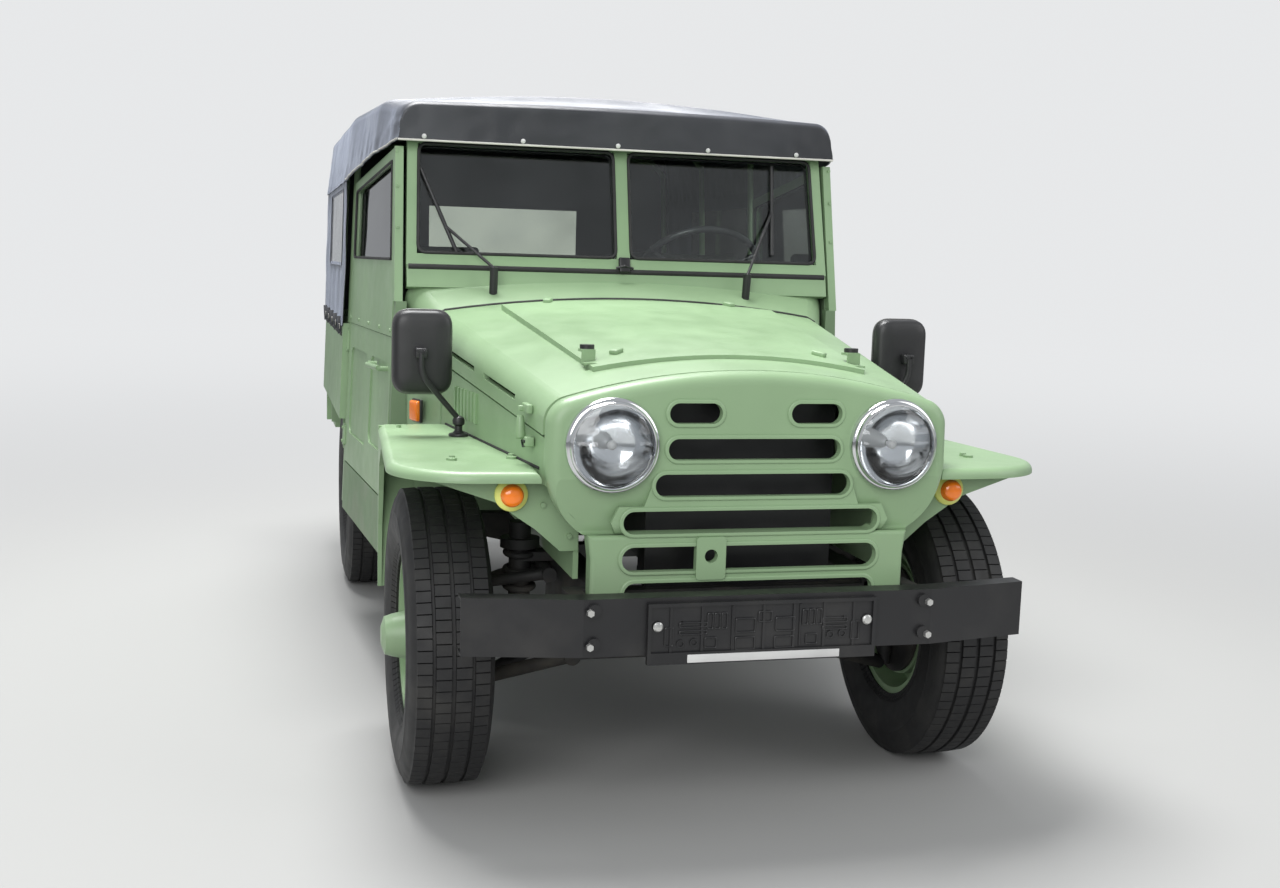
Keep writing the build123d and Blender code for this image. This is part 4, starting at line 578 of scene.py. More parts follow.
tread_rubber = moulded("tyre_rubber", (0.014, 0.014, 0.014), 0.62, 160.0, 0.0006, 0.35)
dust = tread_rubber.range(tread_rubber.cloud(11.0, 6.0), 0.48, 0.78, 0.0, 0.35)
tread_rubber.feed("Base Color", tread_rubber.blend(dust, (0.012, 0.012, 0.0125), (0.060, 0.057, 0.050)))
TYRES = [
    # name, node, body, axle
    ("front_right_tyre", "tyre_front_right", "front_right_wheel", (1, 0, 0)),
    ("front_left_tyre", "tyre_front_left", "front_left_wheel", (1, 0, 0)),
    ("rear_right_tyre", "tyre_rear_right", "rear_right_wheel", (1, 0, 0)),
    ("rear_left_tyre", "tyre_rear_left", "rear_left_wheel", (1, 0, 0)),
    ("spare_tyre_tread", "spare_tyre", "car", (0, 1, 0)),
]
for row in TYRES:
    made = tyre(*row)
print(len(TYRES), "tyres of", len(made.data.polygons), "faces")

# %% [markdown]
# ## Wheel nuts
# Each steel disc is held by six cone-ended nuts round the hub, and a rubber valve stands in the
# rim. The nuts are dropped onto the disc from outside, so they follow its dish.

# %% Wheel nuts and valves
NUTS, NUT_CIRCLE, VALVE_CIRCLE = 6, 70, 168
# how far outside the hub the straight lines start, in metres
START_OUT = 0.4
for end, side in (("front_right", -1), ("front_left", 1), ("rear_right", -1), ("rear_left", 1)):
    node, body = "wheel_" + end, end + "_wheel"
    shape = bmesh.new()
    hub = middle_of(node)
    for turn_by in range(NUTS):
        angle = math.tau * (turn_by + 0.5) / NUTS
        around = mm(NUT_CIRCLE) * math.cos(angle), mm(NUT_CIRCLE) * math.sin(angle)
        spot = hub + Vector((side * START_OUT, *around))
        hit, _ = land(node, spot, (-side, 0, 0))
        if hit:
            bolt(shape, hit, (side, 0, 0), 21, 13)
            bolt(shape, hit + Vector((side * mm(12), 0, 0)), (side, 0, 0), 11, 6, 12)
    valve = hub + Vector((side * START_OUT, 0, mm(VALVE_CIRCLE)))
    hit, _ = land(node, valve, (-side, 0, 0))
    if hit:
        bolt(shape, hit, (side, 0, 0), 9, 26, 12)
    piece(node + "_nuts", shape, steel, body)
print("nuts on four wheels")

# %% [markdown]
# ## Headlamps
# A chrome ring in two steps holds a domed lens over a polished bowl. The lens is pressed with
# upright flutes that spread the light. They are made as real waves in its surface, because the
# flutes are what the eye reads as a lamp. The bulb shows as a small bright capsule.

# %% Headlamps
HEADLAMP = (326, -486, 891)
LENS_RADIUS = 88.4
# in metres: how far out the flutes reach, how deep they are and their width over one radian
FLUTED_RADIUS, FLUTE_DEPTH, FLUTE_WIDTH = 0.081, 0.0009, 0.0042
lens_glass = pane("lamp_lens", (0.93, 0.95, 0.96), 0.05, 0.04)
FORWARD, BACKWARD = (0, -1, 0), (0, 1, 0)
rings, lenses, bowls, bulbs = bmesh.new(), bmesh.new(), bmesh.new(), bmesh.new()
for side in (-1, 1):
    seat = pointing(at(side * HEADLAMP[0], *HEADLAMP[1:]), FORWARD)
    lathe(rings, [(-4, 104), (6, 105), (13, 103.5), (17, 100), (18, 97), (19.5, 96.5), (24, 95.5), (27, 92.5),
                  (26.5, 90), (22, 88.8), (4, 88.6)], seat, 96)
    radii = (0.01, 8, 17, 26, 35, 44, 53, 62, 71, 80, 86, LENS_RADIUS)
    dome = [(41.0 - 20.0 * (radius / LENS_RADIUS) ** 2, radius) for radius in radii]
    fresh = lathe(lenses, dome, Matrix.Identity(4), 144)
    for vert in fresh:
        if math.hypot(vert.co.x, vert.co.y) < FLUTED_RADIUS:
            vert.co.z += FLUTE_DEPTH * math.cos(vert.co.y / FLUTE_WIDTH)
    bmesh.ops.transform(lenses, matrix=seat, verts=fresh)
    lathe(bowls, [(-28, 6), (-27, 22), (-18, 52), (-4, 76), (10, 88.2)], seat, 64)
    lathe(bulbs, [(-27, 5), (-14, 7), (-8, 10), (2, 10), (7, 6), (8.5, 0.01)], seat, 24)
ring_piece = piece("headlamp_chrome_rings", rings, chrome)
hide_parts("headlamp_rings")
lens_piece = piece("headlamp_lenses", lenses, lens_glass, crease=70)
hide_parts("headlamp_glass")
piece("headlamp_bowls", bowls, mirror_bowl)
piece("headlamp_bulbs", bulbs, white_strip)
print("two headlamps")

# %% [markdown]
# ## Front indicators and side repeaters
# Each wing carries an amber dome on a round base painted yellow-green. A flat amber repeater
# sits on each cheek of the scuttle. The domes have fine rings pressed in the plastic.

# %% Indicators and repeaters
INDICATOR, REPEATER, CHEEK_YAW = (525, -378.4, 769), (633, 600, 850), math.radians(19)
bases, domes, repeats, rims = bmesh.new(), bmesh.new(), bmesh.new(), bmesh.new()
for side in (-1, 1):
    seat = pointing(at(side * INDICATOR[0], *INDICATOR[1:]), FORWARD)
    lathe(bases, [(0, 0.01), (0, 37), (6, 37), (9, 35), (11, 30), (14, 26.5), (14, 0.01)], seat, 48)
    lathe(domes, [(13, 25.5), (18, 25.4), (19, 24.6), (22, 24.4), (23, 23.6), (26, 23.2), (27, 22.2),
                  (30, 21.2), (32, 18.5), (34, 14), (35.2, 8), (35.8, 0.01)], seat, 48)
    place = at(side * REPEATER[0], *REPEATER[1:])
    out = Vector((side * math.cos(CHEEK_YAW), -math.sin(CHEEK_YAW), 0))
    slab(repeats, (58, 50, 20), pointing(place, out) @ QUARTER_TURN, 7, 4)
    slab(rims, (66, 57, 10), pointing(place - out * mm(6), out) @ QUARTER_TURN, 4)
base_piece = piece("indicator_bases", bases, pale_base)
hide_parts("side_lamps")
piece("indicator_domes", domes, amber)
piece("side_repeaters", repeats, amber)
piece("side_repeater_rims", rims, plastic)
print("two indicators and two repeaters")

# %% Rear lamps
TAIL_X, TAIL_Y = 620, 2985.3
TAIL_LAMPS = [
    # height, radius
    (700, 41), (800, 33),
]
tail_rims, tail_lenses = bmesh.new(), bmesh.new()
for side in (-1, 1):
    for height, radius in TAIL_LAMPS:
        seat = pointing(at(side * TAIL_X, TAIL_Y, height), BACKWARD)
        lathe(tail_rims, [(0, 0.01), (0, radius), (10, radius), (14, radius - 3), (15, radius - 7),
                          (12, radius - 8)], seat, 40)
        lathe(tail_lenses, [(12, radius - 7.5), (19, radius - 8), (26, radius - 13), (29, radius * 0.4),
                            (30, 0.01)], seat, 40)
tail_piece = piece("rear_lamp_rims", tail_rims, black)
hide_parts("rear_lamps")
piece("rear_lamp_lenses", tail_lenses, red)
print(len(TAIL_LAMPS) * 2, "rear lamps")

# %% [markdown]
# ## The canvas hood
# The roof is one sheet: it starts as a band over the windscreen, bends over the front bow, runs
# back over four bows and drops as a hem on each side. Its section is a low arch, a tight bend at
# the eave and a leaning wall. The cloth sags a little between the bows and puckers at its hem,
# and that slack is what makes it read as cloth and not as sheet steel.

# %% The roof's section
ROOF_ROWS = [
    # Y, half width at the hem, hem Z, half width at the eave, eave Z, crown Z
    (796, 668, 1609, 654, 1708, 1728),
    (1080, 716, 1583, 700, 1738, 1792),
    (1664, 766, 1529, 742, 1742, 1812),
    (2999, 766, 1529, 742, 1750, 1808),
]
BOW_LINES = [815, 1180, 1730, 2350, 2940, 2999]
CROWN_PART, BEND_PART = 0.60, 0.76
# the eave's bend: how far it reaches in, how tall it is and how far its foot lies below the eave
BEND_IN, BEND_TALL, BEND_FOOT = 50, 42, 30
# how far the cloth sags between two bows, on top and at its sides
TOP_SAG, SIDE_SAG = 9, 3
# the fold in the right front corner: the last Y it touches, its middle as a Y and as a part of the
# section, and how fast it dies out along the car and round the section
FOLD_LAST, FOLD_Y, FOLD_PART, FOLD_LONG, FOLD_ROUND = 980, 850, 0.8, 60, 0.14


def row_at(y):
    y = min(max(y, ROOF_ROWS[0][0]), ROOF_ROWS[-1][0])
    for first, second in zip(ROOF_ROWS, ROOF_ROWS[1:]):
        if y <= second[0]:
            part = (y - first[0]) / (second[0] - first[0])
            return [a + (b - a) * part for a, b in zip(first[1:], second[1:])]


def sag_at(y):
    for first, second in zip(BOW_LINES, BOW_LINES[1:]):
        if first <= y <= second:
            return math.sin(math.pi * (y - first) / (second - first)) ** 2
    return 0.0


def ripple(x, y, z, size):
    return noise.noise(Vector((x / size, y / size, z / size)))


def roof_point(u, y):
    hem, hem_z, eave, eave_z, crown = row_at(y)
    side, s = (1 if u >= 0 else -1), abs(u)
    slack = sag_at(y)
    if s < CROWN_PART:
        part = s / CROWN_PART
        x, z = (eave - BEND_IN) * part, crown - (crown - eave_z - BEND_TALL + BEND_FOOT) * part ** 2
        z -= TOP_SAG * slack * (1 - part ** 4) + 1.2 * ripple(side * x, y, 0, 260)
    elif s < BEND_PART:
        bend = (s - CROWN_PART) / (BEND_PART - CROWN_PART) * math.pi / 2
        x, z = eave - BEND_IN + BEND_IN * math.sin(bend), eave_z - BEND_FOOT + BEND_TALL * math.cos(bend)
        x -= SIDE_SAG * slack * math.sin(bend)
    else:
        part = (s - BEND_PART) / (1 - BEND_PART)
        x, z = eave + (hem - eave) * part, eave_z - BEND_FOOT + (hem_z - eave_z + BEND_FOOT) * part
        pucker = part * 5 * ripple(side * 300, y, 0, 70) + part * 3 * ripple(side * 90, y, z, 30)
        x += pucker - SIDE_SAG * slack * (1 - part)
        z += part ** 3 * 3 * ripple(side * 10, y, 0, 110)
    if side < 0 and y < FOLD_LAST:
        fold = math.exp(-((y - FOLD_Y) / FOLD_LONG) ** 2) * math.exp(-((s - FOLD_PART) / FOLD_ROUND) ** 2)
        x += 9 * fold + 5 * fold * ripple(0, y, z, 22)
    return side * x, z


print("crown at the third bow", round(roof_point(0, 1730)[1], 1))

# %% Weave the sheets


def cloth(name, rows, columns, place, finish, thick=2.0, hole=None):
    # a grid of points from a placing function, with the cells inside a hole left out
    shape = bmesh.new()
    grid = [[shape.verts.new(place(row, column)) for column in columns] for row in rows]
    for r in range(len(rows) - 1):
        for c in range(len(columns) - 1):
            if hole and hole(rows[r], rows[r + 1], columns[c], columns[c + 1]):
                continue
            shape.faces.new((grid[r][c], grid[r][c + 1], grid[r + 1][c + 1], grid[r + 1][c]))
    loose = [vert for vert in shape.verts if not vert.link_faces]
    bmesh.ops.delete(shape, geom=loose, context="VERTS")
    made = piece(name, shape, finish, crease=70)
    stiff = made.modifiers.new("thickness", "SOLIDIFY")
    stiff.thickness = mm(thick)
    stiff.offset = -1
    return made


# the band over the windscreen: its Y, how far the crown drops to meet it, and where its ripples end
BAND_Y, BAND_DROP, BAND_END = 797.0, 14.0, 800
# a height over the whole roof, for the rows that nothing cuts off
UNCUT = 1900


def roof_place(row, u):
    y, clip, drop = row
    x, z = roof_point(u, y)
    z = min(z - drop * (1 if abs(u) < BEND_PART else 0), clip)
    band = 1 if y < BAND_END else 0
    push = band * (3.5 * ripple(x, 0, z, 150) + 2 * ripple(x, 0, z, 45) - 3)
    return at(x, y + push, z)


band_rows = [(BAND_Y, clip, BAND_DROP) for clip in spread(1609, 1704, 12)]
turns = spread(0.12, math.pi / 2, 6)
turn_rows = [(812 - 15 * math.cos(turn_by), UNCUT, BAND_DROP * (1 - math.sin(turn_by))) for turn_by in turns]
long_rows = [(y, UNCUT, 0.0) for y in spread(824, 2990, 150)]
back_rows = [(2999.0, clip, 0.0) for clip in spread(1752, 1529, 18)]
roof_rows = band_rows + turn_rows + long_rows + back_rows
roof = cloth("hood_roof", roof_rows, spread(-1, 1, 125), roof_place, canvas)
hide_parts("canvas_top")
print("roof sheet", len(roof.data.polygons), "faces")

# %% [markdown]
# ## Side and back curtains
# A curtain hangs from the eave on each side behind the door, and one closes the back. Each has a
# clear window sewn in. The cloth hangs in shallow upright waves that die out at the hems and at
# the window, where the stitching holds it flat. The vinyl is a second, thinner sheet that laps
# under the cloth, and a sewn binding covers the edge between them.

# %% Curtains
# each window: its two ends along the curtain, its foot and its head
SIDE_WINDOW = (1800, 2620, 1250, 1500)
BACK_WINDOW = (-330, 330, 1200, 1500)
# the foot lies on the tub's rail, and the roof's hem holds all that is above the third height
CURTAIN_FOOT, CURTAIN_HEAD, CURTAIN_HELD = 1030, 1556, 1540
VINYL_LAP, BINDING_OUT = 3, 10
# half the width between the side curtains at their foot, and a rise above it
FOOT_HALF, RISEN_HALF, RISE = 780.7, 764, 570
# over these heights the cloth goes from held to free: away from a window, and away from a hem
WINDOW_REACH, HEM_REACH = 70, 60


def curtain_half(z):
    # the side curtains lean in a little towards the eave
    return FOOT_HALF + (RISEN_HALF - FOOT_HALF) * (z - CURTAIN_FOOT) / RISE


def calm(value, low, high, reach):
    # 0 between two limits, rising to 1 a reach beyond them
    gap = max(low - value, value - high, 0.0)
    return min(gap / reach, 1.0)


def freedom(across, z, window, reach):
    # how far the cloth may swing: not at all by the window or at the two hems
    by_window = max(calm(across, window[0], window[1], reach), calm(z, window[2], window[3], WINDOW_REACH))
    by_foot = calm(z, -math.inf, CURTAIN_FOOT, HEM_REACH)
    by_head = calm(z, CURTAIN_HELD, math.inf, HEM_REACH)
    return by_window * min(by_foot, by_head)


def window_hole(window):
    def inside(z0, z1, low, high):
        return low >= window[0] and high <= window[1] and z0 >= window[2] and z1 <= window[3]
    return inside


def grown(window, by):
    return window[0] - by, window[1] + by, window[2] - by, window[3] + by


def binding(name, window, place):
    # a sewn edge just outside a window, where the curtain's own cloth lies
    low, high, foot, head = grown(window, BINDING_OUT)
    rim = bmesh.new()
    corners = [place(z, spot) for z, spot in ((foot, low), (foot, high), (head, high), (head, low))]
    bent_bar(rim, rounded(corners, 22, 5), 2.6, True, 2)
    return piece(name, rim, canvas)


def side_place(side):
    def place(z, y):
        wave = 4.5 * math.sin(y / 46 + 1.5 * ripple(0, y, z, 300)) + 5 * ripple(side * 100, y, z, 130)
        return at(side * (curtain_half(z) - 4 + freedom(y, z, SIDE_WINDOW, 90) * wave * 0.7), y, z)
    return place


def inside_of(side, inset, wave=0.0):
    # places that lie an inset within the side curtain's outer face
    return lambda z, y: at(side * (curtain_half(z) - inset + wave * ripple(side * 40, y, z, 120)), y, z)


def back_place(z, x):
    half = curtain_half(z) - 3
    wave = 4 * math.sin(x / 50) + 5 * ripple(x, 50, z, 140)
    return at(max(-half, min(half, x)), 2994 + freedom(x, z, BACK_WINDOW, 80) * wave * 0.7, z)


def stations(stops, counts):
    # evenly spaced places between each pair of stops, with every stop among them
    places = [stops[0]]
    for low, high, count in zip(stops, stops[1:], counts):
        places += spread(low, high, count)[1:]
    return places


def clear_window(name, window, counts, place):
    # thin vinyl that laps a little under the cloth all round
    low, high, foot, head = grown(window, VINYL_LAP)
    return cloth(name, spread(foot, head, counts[0]), spread(low, high, counts[1]), place, vinyl_pane, 0.8)


curtain_heights = stations((CURTAIN_FOOT, *SIDE_WINDOW[2:], CURTAIN_HEAD), (12, 14, 5))
curtain_lengths = stations((1688, *SIDE_WINDOW[:2], 2996), (10, 50, 26))
curtains = []
for side, name in ((-1, "right_curtain"), (1, "left_curtain")):
    hole = window_hole(SIDE_WINDOW)
    sheet = cloth(name, curtain_heights, curtain_lengths, side_place(side), canvas, 2.0, hole)
    clear = clear_window(name + "_window", SIDE_WINDOW, (14, 40), inside_of(side, 5.2, 1.2))
    rim = binding(name + "_binding", SIDE_WINDOW, inside_of(side, 3))
    curtains.append(sheet)
    if side < 0:
        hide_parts("canvas_windows")
back_heights = stations((CURTAIN_FOOT, *BACK_WINDOW[2:], CURTAIN_HEAD), (10, 16, 5))
back_widths = stations((-781, *BACK_WINDOW[:2], 781), (24, 34, 24))
back = cloth("back_curtain", back_heights, back_widths, back_place, canvas, 2.0, window_hole(BACK_WINDOW))


def back_vinyl(z, x):
    return at(x, 2992.8 + 1.2 * ripple(x, 90, z, 120), z)


def back_edge(z, x):
    return at(x, 2995, z)


back_clear = clear_window("back_curtain_window", BACK_WINDOW, (16, 34), back_vinyl)
back_rim = binding("back_curtain_binding", BACK_WINDOW, back_edge)
print(len(curtains) + 1, "curtains")

# %% Piping, hem studs and tie-down straps
hem_line = bmesh.new()
front_hem = [at(roof_point(u, BAND_Y)[0], 793.5, 1611) for u in spread(-0.985, 0.985, 60)]
bent_bar(hem_line, front_hem, 3.2)
for side in (-1, 1):
    path = []
    for y in spread(800, 1684, 60):
        x, z = roof_point(side * 0.995, y)
        path.append(at(x + side * 1.5, y, z + 2))
    bent_bar(hem_line, path, 2.6)
hem = piece("hood_piping", hem_line, piping)
studs = bmesh.new()
for x in (-594, -306, -20, 260, 544):
    lathe(studs, [(0, 7), (2, 7), (4, 5), (5, 0.01)], pointing(at(x, 792, 1622), FORWARD), 20)
stud_piece = piece("hood_front_studs", studs, white_strip)
straps, buckles, cleats = bmesh.new(), bmesh.new(), bmesh.new()
for side in (-1, 1):
    for y in (1770, 2040, 2310, 2580, 2850):
        top = at(side * 780.5, y, 1062)
        low = at(side * 777, y, 1000)
        drop = top - low
        slab(straps, (20, 2.4, drop.length * 1000), pointing((top + low) / 2, drop) @ QUARTER_TURN, 0.8, 2)
        corners = [at(side * 781, y - 13, 1018), at(side * 781, y + 13, 1018), at(side * 781.5, y + 13, 1036),
                   at(side * 781.5, y - 13, 1036)]
        bent_bar(buckles, rounded(corners, 4, 3), 1.7, True, 2)
        slab(cleats, (4, 40, 14), Matrix.Translation(at(side * 775.5, y, 1000)), 1.5, 2)
        for shift in (-14, 14):
            bolt(cleats, at(side * 777, y + shift, 1000), (side, 0, 0), 8, 3, 10)
piece("tie_down_straps", straps, canvas)
piece("strap_buckles", buckles, steel)
piece("strap_cleats", cleats, black)
print("piping, studs and straps")

# %% [markdown]
# ## Windscreen trim
# Each pane sits in a black rubber seal with round corners. A rubber band closes the gap between
# the frame's foot and the scuttle, and a black catch holds the frame on the centre post.

# %% Seals, rubber band and catch
SCREEN_FOOT, SCREEN_HEAD = (774, 1252), (866, 1640)
slope = math.hypot(SCREEN_HEAD[0] - SCREEN_FOOT[0], SCREEN_HEAD[1] - SCREEN_FOOT[1])
lean = ((SCREEN_HEAD[0] - SCREEN_FOOT[0]) / slope, (SCREEN_HEAD[1] - SCREEN_FOOT[1]) / slope)


def on_screen(x, s, out):
    # a point on the windscreen's plane: across, up the slope from its foot, and out of its face
    return at(x, SCREEN_FOOT[0] + lean[0] * s - lean[1] * out, SCREEN_FOOT[1] + lean[1] * s + lean[0] * out)


seals = bmesh.new()
PANE_CORNERS = ((23, 37), (612, 37), (604, slope - 39), (23, slope - 39))
for side in (-1, 1):
    for out in (16.5, -16.5):
        corners = [on_screen(side * x, s, out) for x, s in PANE_CORNERS]
        bent_bar(seals, rounded(corners, 26), 5.0, True)
piece("windscreen_seals", seals, rubber)
band = bmesh.new()
bent_bar(band, [on_screen(x, -4, 12) for x in spread(-640, 640, 24)], 9)
piece("windscreen_foot_band", band, rubber)
catch = bmesh.new()
slab(catch, (34, 16, 46), pointing(on_screen(0, 14, 24), (0, lean[0], lean[1])), 4)
bent_bar(catch, [on_screen(-26, 4, 26), on_screen(0, 10, 34), on_screen(26, 4, 26)], 4)
piece("windscreen_catch", catch, black)
print("windscreen trim")

# %% [markdown]
# ## Bonnet and wing trim
# A felt strip lies under the bonnet's rear edge, four wedge eyelets stand on its corners, and a
# black bead fills the joint between each wing and the engine-bay side. A wire latch with a turned
# handle holds the bonnet down on each side: its upper bracket rides on the bonnet, the rest on the
# car. Hexagon bolts hold the wings, the inner panels, the bumper and the side posts.

# %% Bonnet and wing trim
ABOVE_BONNET = 1400


def on_bonnet(x, y):
    # the bonnet's top at a place, and the way it faces there
    return land("bonnet", at(x, y, ABOVE_BONNET), (0, 0, -1))


felt = bmesh.new()
arc = []
for x in spread(-572, 572, 44):
    hit, _ = on_bonnet(x, 646)
    if hit:
        arc.append(hit + Vector((0, mm(3.0), mm(1.0))))
bent_bar(felt, arc, 4.5)
piece("bonnet_felt", felt, rubber, "bonnet_lid")
eyelets = bmesh.new()
for x, y in ((-268, 560), (268, 560), (-252, -200), (252, -200)):
    hit, facing = on_bonnet(x, y)
    if hit:
        slab(eyelets, (22, 34, 12), pointing(hit + facing * mm(4), facing), 4)
piece("bonnet_eyelets", eyelets, sage, "bonnet_lid")
latch_tops, latch_handles, latch_hooks = bmesh.new(), bmesh.new(), bmesh.new()


def moved(side, origin, out, back, rise):
    # a point moved away from the car's middle, back and up, in millimetres
    return origin + Vector((side * mm(out), mm(back), mm(rise)))


for side in (-1, 1):
    hit, _ = land("bonnet", at(side * 700, -330, 955), (-side, 0, 0))
    slab(latch_tops, (14, 62, 20), Matrix.Translation(moved(side, hit, 7, 0, 0)), 3)
    slab(latch_tops, (20, 16, 12), Matrix.Translation(moved(side, hit, 14, 20, -2)), 3)
    head = moved(side, hit, 18, 22, -18)
    lathe(latch_handles, [(0, 0.01), (0, 6), (3, 8), (10, 9), (44, 12), (50, 11), (53, 6), (53, 0.01)],
          pointing(head, (0, -0.08, -1)), 24)
    foot = moved(side, head, -4, -4, -56)
    wire = [foot, moved(side, foot, 0, -14, -12), moved(side, foot, -6, -30, -8)]
    bent_bar(latch_hooks, wire, 3.0)
    slab(latch_handles, (20, 24, 22), Matrix.Translation(moved(side, foot, -8, -42, 2)), 3)
    for lift in (-5, 5):
        bolt(latch_hooks, moved(side, foot, 2, -42 + lift, 3), (side, 0, 0), 7, 3, 10)
piece("bonnet_latch_tops", latch_tops, sage, "bonnet_lid")
piece("bonnet_latch_handles", latch_handles, sage)
piece("bonnet_latch_hooks", latch_hooks, black)
# the joint between wing and engine bay: a Y, half the width there, and how it widens along the car
JOINT_Y, JOINT_HALF, JOINT_SPREAD = -400, 466.2, 0.1172
beads = bmesh.new()
for side in (-1, 1):
    joint = [(side * (JOINT_HALF + JOINT_SPREAD * (y - JOINT_Y)), y, 829.5) for y in spread(-396, 448, 30)]
    bent_bar(beads, [at(*spot) for spot in joint], 3.6)
piece("wing_beads", beads, rubber)

BOLTS = [
    # node, from x, y, z, way, across flats, height
    ("front_fenders", 636, -230, 900, (0, 0, -1), 17, 8),
    ("front_fenders", 496, -202, 900, (0, 0, -1), 17, 8),
    ("front_fenders", 700, 380, 900, (0, 0, -1), 15, 7),
    ("inner_wings", 454, -600, 745, (0, 1, 0), 14, 7),
    ("inner_wings", 393, -600, 674, (0, 1, 0), 14, 7),
    ("front_bumper", 388, -700, 475, (0, 1, 0), 18, 9),
    ("front_bumper", 388, -700, 549, (0, 1, 0), 18, 9),
    ("side_posts", 668, 500, 1580, (0, 1, 0), 11, 4),
    ("side_posts", 668, 500, 1480, (0, 1, 0), 11, 4),
    ("side_posts", 668, 500, 1361, (0, 1, 0), 11, 4),
    ("scuttle", 640, 500, 1180, (0, 1, 0), 11, 4),
]
heads = {}
for node, x, y, z, way, across, height in BOLTS:
    for side in (-1, 1):
        hit, _ = land(node, at(side * x, y, z), way)
        if hit:
            bolt(heads.setdefault(node, bmesh.new()), hit, -Vector(way), across, height)
for node, shape in heads.items():
    piece(node + "_bolts", shape, zinc if node == "front_bumper" else sage)
print(len(BOLTS) * 2, "bolt heads")

# %% Plate holder and bumper details
holder = bmesh.new()
MOULDINGS = [
    # X, Z, width, height of each raised rim
    (-42, 510, 44, 30), (50, 510, 44, 30), (-42, 470, 44, 27), (48, 470, 44, 25), (3, 528, 30, 22),
    (-160, 515, 62, 10), (-160, 498, 62, 8), (-122, 522, 12, 34), (-106, 522, 12, 34), (-90, 522, 12, 34),
    (96, 524, 12, 34), (112, 524, 12, 34), (128, 524, 12, 34), (166, 515, 58, 10), (166, 498, 58, 8),
    (-214, 490, 18, 40), (214, 490, 18, 40), (-120, 474, 26, 22), (112, 474, 26, 22),
]
for x, z, width, height in MOULDINGS:
    corners = [at(x + across * width / 2, -586, z + rise * height / 2) for across, rise in CORNER_SIGNS]
    bent_bar(holder, rounded(corners, 3, 2), 1.7, True, 1)
for x in (-72, 84):
    slab(holder, (4, 5, 96), Matrix.Translation(at(x, -585.5, 507)), 1, 1)
for x, z in ((-188, 474), (-158, 476), (156, 482), (184, 484)):
    lathe(holder, [(0, 9), (3, 9), (3, 6), (0, 6)], pointing(at(x, -584, z), FORWARD), 20)
piece("plate_holder_mouldings", holder, black)
strip = bmesh.new()
slab(strip, (350, 3, 18), Matrix.Translation(at(2, -591, 442)), 1.2, 2)
piece("plate_holder_strip", strip, white_strip)
screws = bmesh.new()
for x in (-240, 240):
    lathe(screws, [(0, 11), (4, 11), (7, 8), (8, 0.01)], pointing(at(x, -588, 514), FORWARD), 24)
piece("plate_holder_screws", screws, zinc)
print("plate holder left blank")

# %% [markdown]
# ## Door trim
# The pane of each door is held by a black channel that follows the leaning front edge and the
# falling head. The hinge leaves take four bolts. Everything is placed in the door's own flat
# frame, and the left side is the mirror of the right.

# %% Door seals and hinge bolts
DOOR_X, DOOR_Y, DOOR_Z = -682, 760, 1050
along = Vector((0.073, -1, 0)).normalized()
outward = Vector((-1, -0.073, 0.040)).normalized()
upright = outward.cross(along)


def on_door(side, y, z, out):
    spot = at(DOOR_X, DOOR_Y, DOOR_Z) + along * mm(DOOR_Y - y) + upright * mm(z - DOOR_Z) + outward * mm(out)
    return Vector((-side * spot.x, spot.y, spot.z))


DOOR_PANE = ((838, 1270), (1618, 1270), (1618, 1491), (896, 1556))
for side, body, name in ((-1, "right_door", "right"), (1, "left_door", "left")):
    channel = bmesh.new()
    for out in (2.5, -22.5):
        corners = [on_door(side, y, z, out) for y, z in DOOR_PANE]
        bent_bar(channel, rounded(corners, 16), 4.2, True)
    piece(name + "_door_channel", channel, rubber, body)
    leaf_bolts = bmesh.new()
    face_out = Vector((-side * outward.x, outward.y, outward.z))
    for y, z in ((1702, 626), (1702, 674), (1702, 958), (1702, 1006)):
        bolt(leaf_bolts, on_door(side, y, z, 6), face_out, 13, 5)
    piece(name + "_hinge_bolts", leaf_bolts, sage)
    top_bolts = bmesh.new()
    for y in (800, 1010, 1230, 1450, 1645):
        bolt(top_bolts, on_door(side, y, 1064, 2), face_out, 12, 4)
    piece(name + "_door_top_bolts", top_bolts, sage, body)
print("door trim")

# %% [markdown]
# ## Mirror glass and instruments
# Each mirror is a dished plastic head with a paler bead round its mouth. It stands on a bent
# arm that rises from a round foot on the wing, and its glass faces the driver. The head is a
# stack of rounded outlines, each set back and drawn in a little more than the last. The
# instruments are three plain dials with chrome rings and no figures, and a round black vent
# stands by the middle of the dashboard.

# %% Mirrors and dashboard
mirror_glass = Finish("mirror_glass", (0.86, 0.88, 0.88), metallic=1.0, roughness=0.02)
mirror_glass.feed("Roughness", mirror_glass.range(mirror_glass.cloud(20.0, 4.0), 0.4, 0.8, 0.015, 0.09))
MIRROR_AT, MIRROR_WIDE, MIRROR_TALL = (656, 212, 1040), 148, 212
# the foot on the wing, the knuckle's height, and the bend and top of the arm
MIRROR_FOOT, KNUCKLE_TOP = (566, 190, 828.3), 872
ARM_X, ARM_Y, ARM_BEND, ARM_TOP = 664, 168, 985, 1040
ARM_CURVE = 30
SHELL_RINGS = [
    # distance behind the head's middle, how far in from its outline
    (16, 7), (22, 5), (23, 3), (22, 1), (17, 0), (0, 0), (-9, 3), (-14, 8), (-17, 15), (-19, 26), (-21, 42),
]


def head_outline(side, depth, inset):
    wide, tall = MIRROR_WIDE / 2 - inset, MIRROR_TALL / 2 - inset
    middle = (side * MIRROR_AT[0], MIRROR_AT[1] + depth, MIRROR_AT[2])
    corners = [at(middle[0] + a * wide, middle[1], middle[2] + b * tall) for a, b in CORNER_SIGNS]
    return rounded(corners, max(44 - inset, 12), 8)


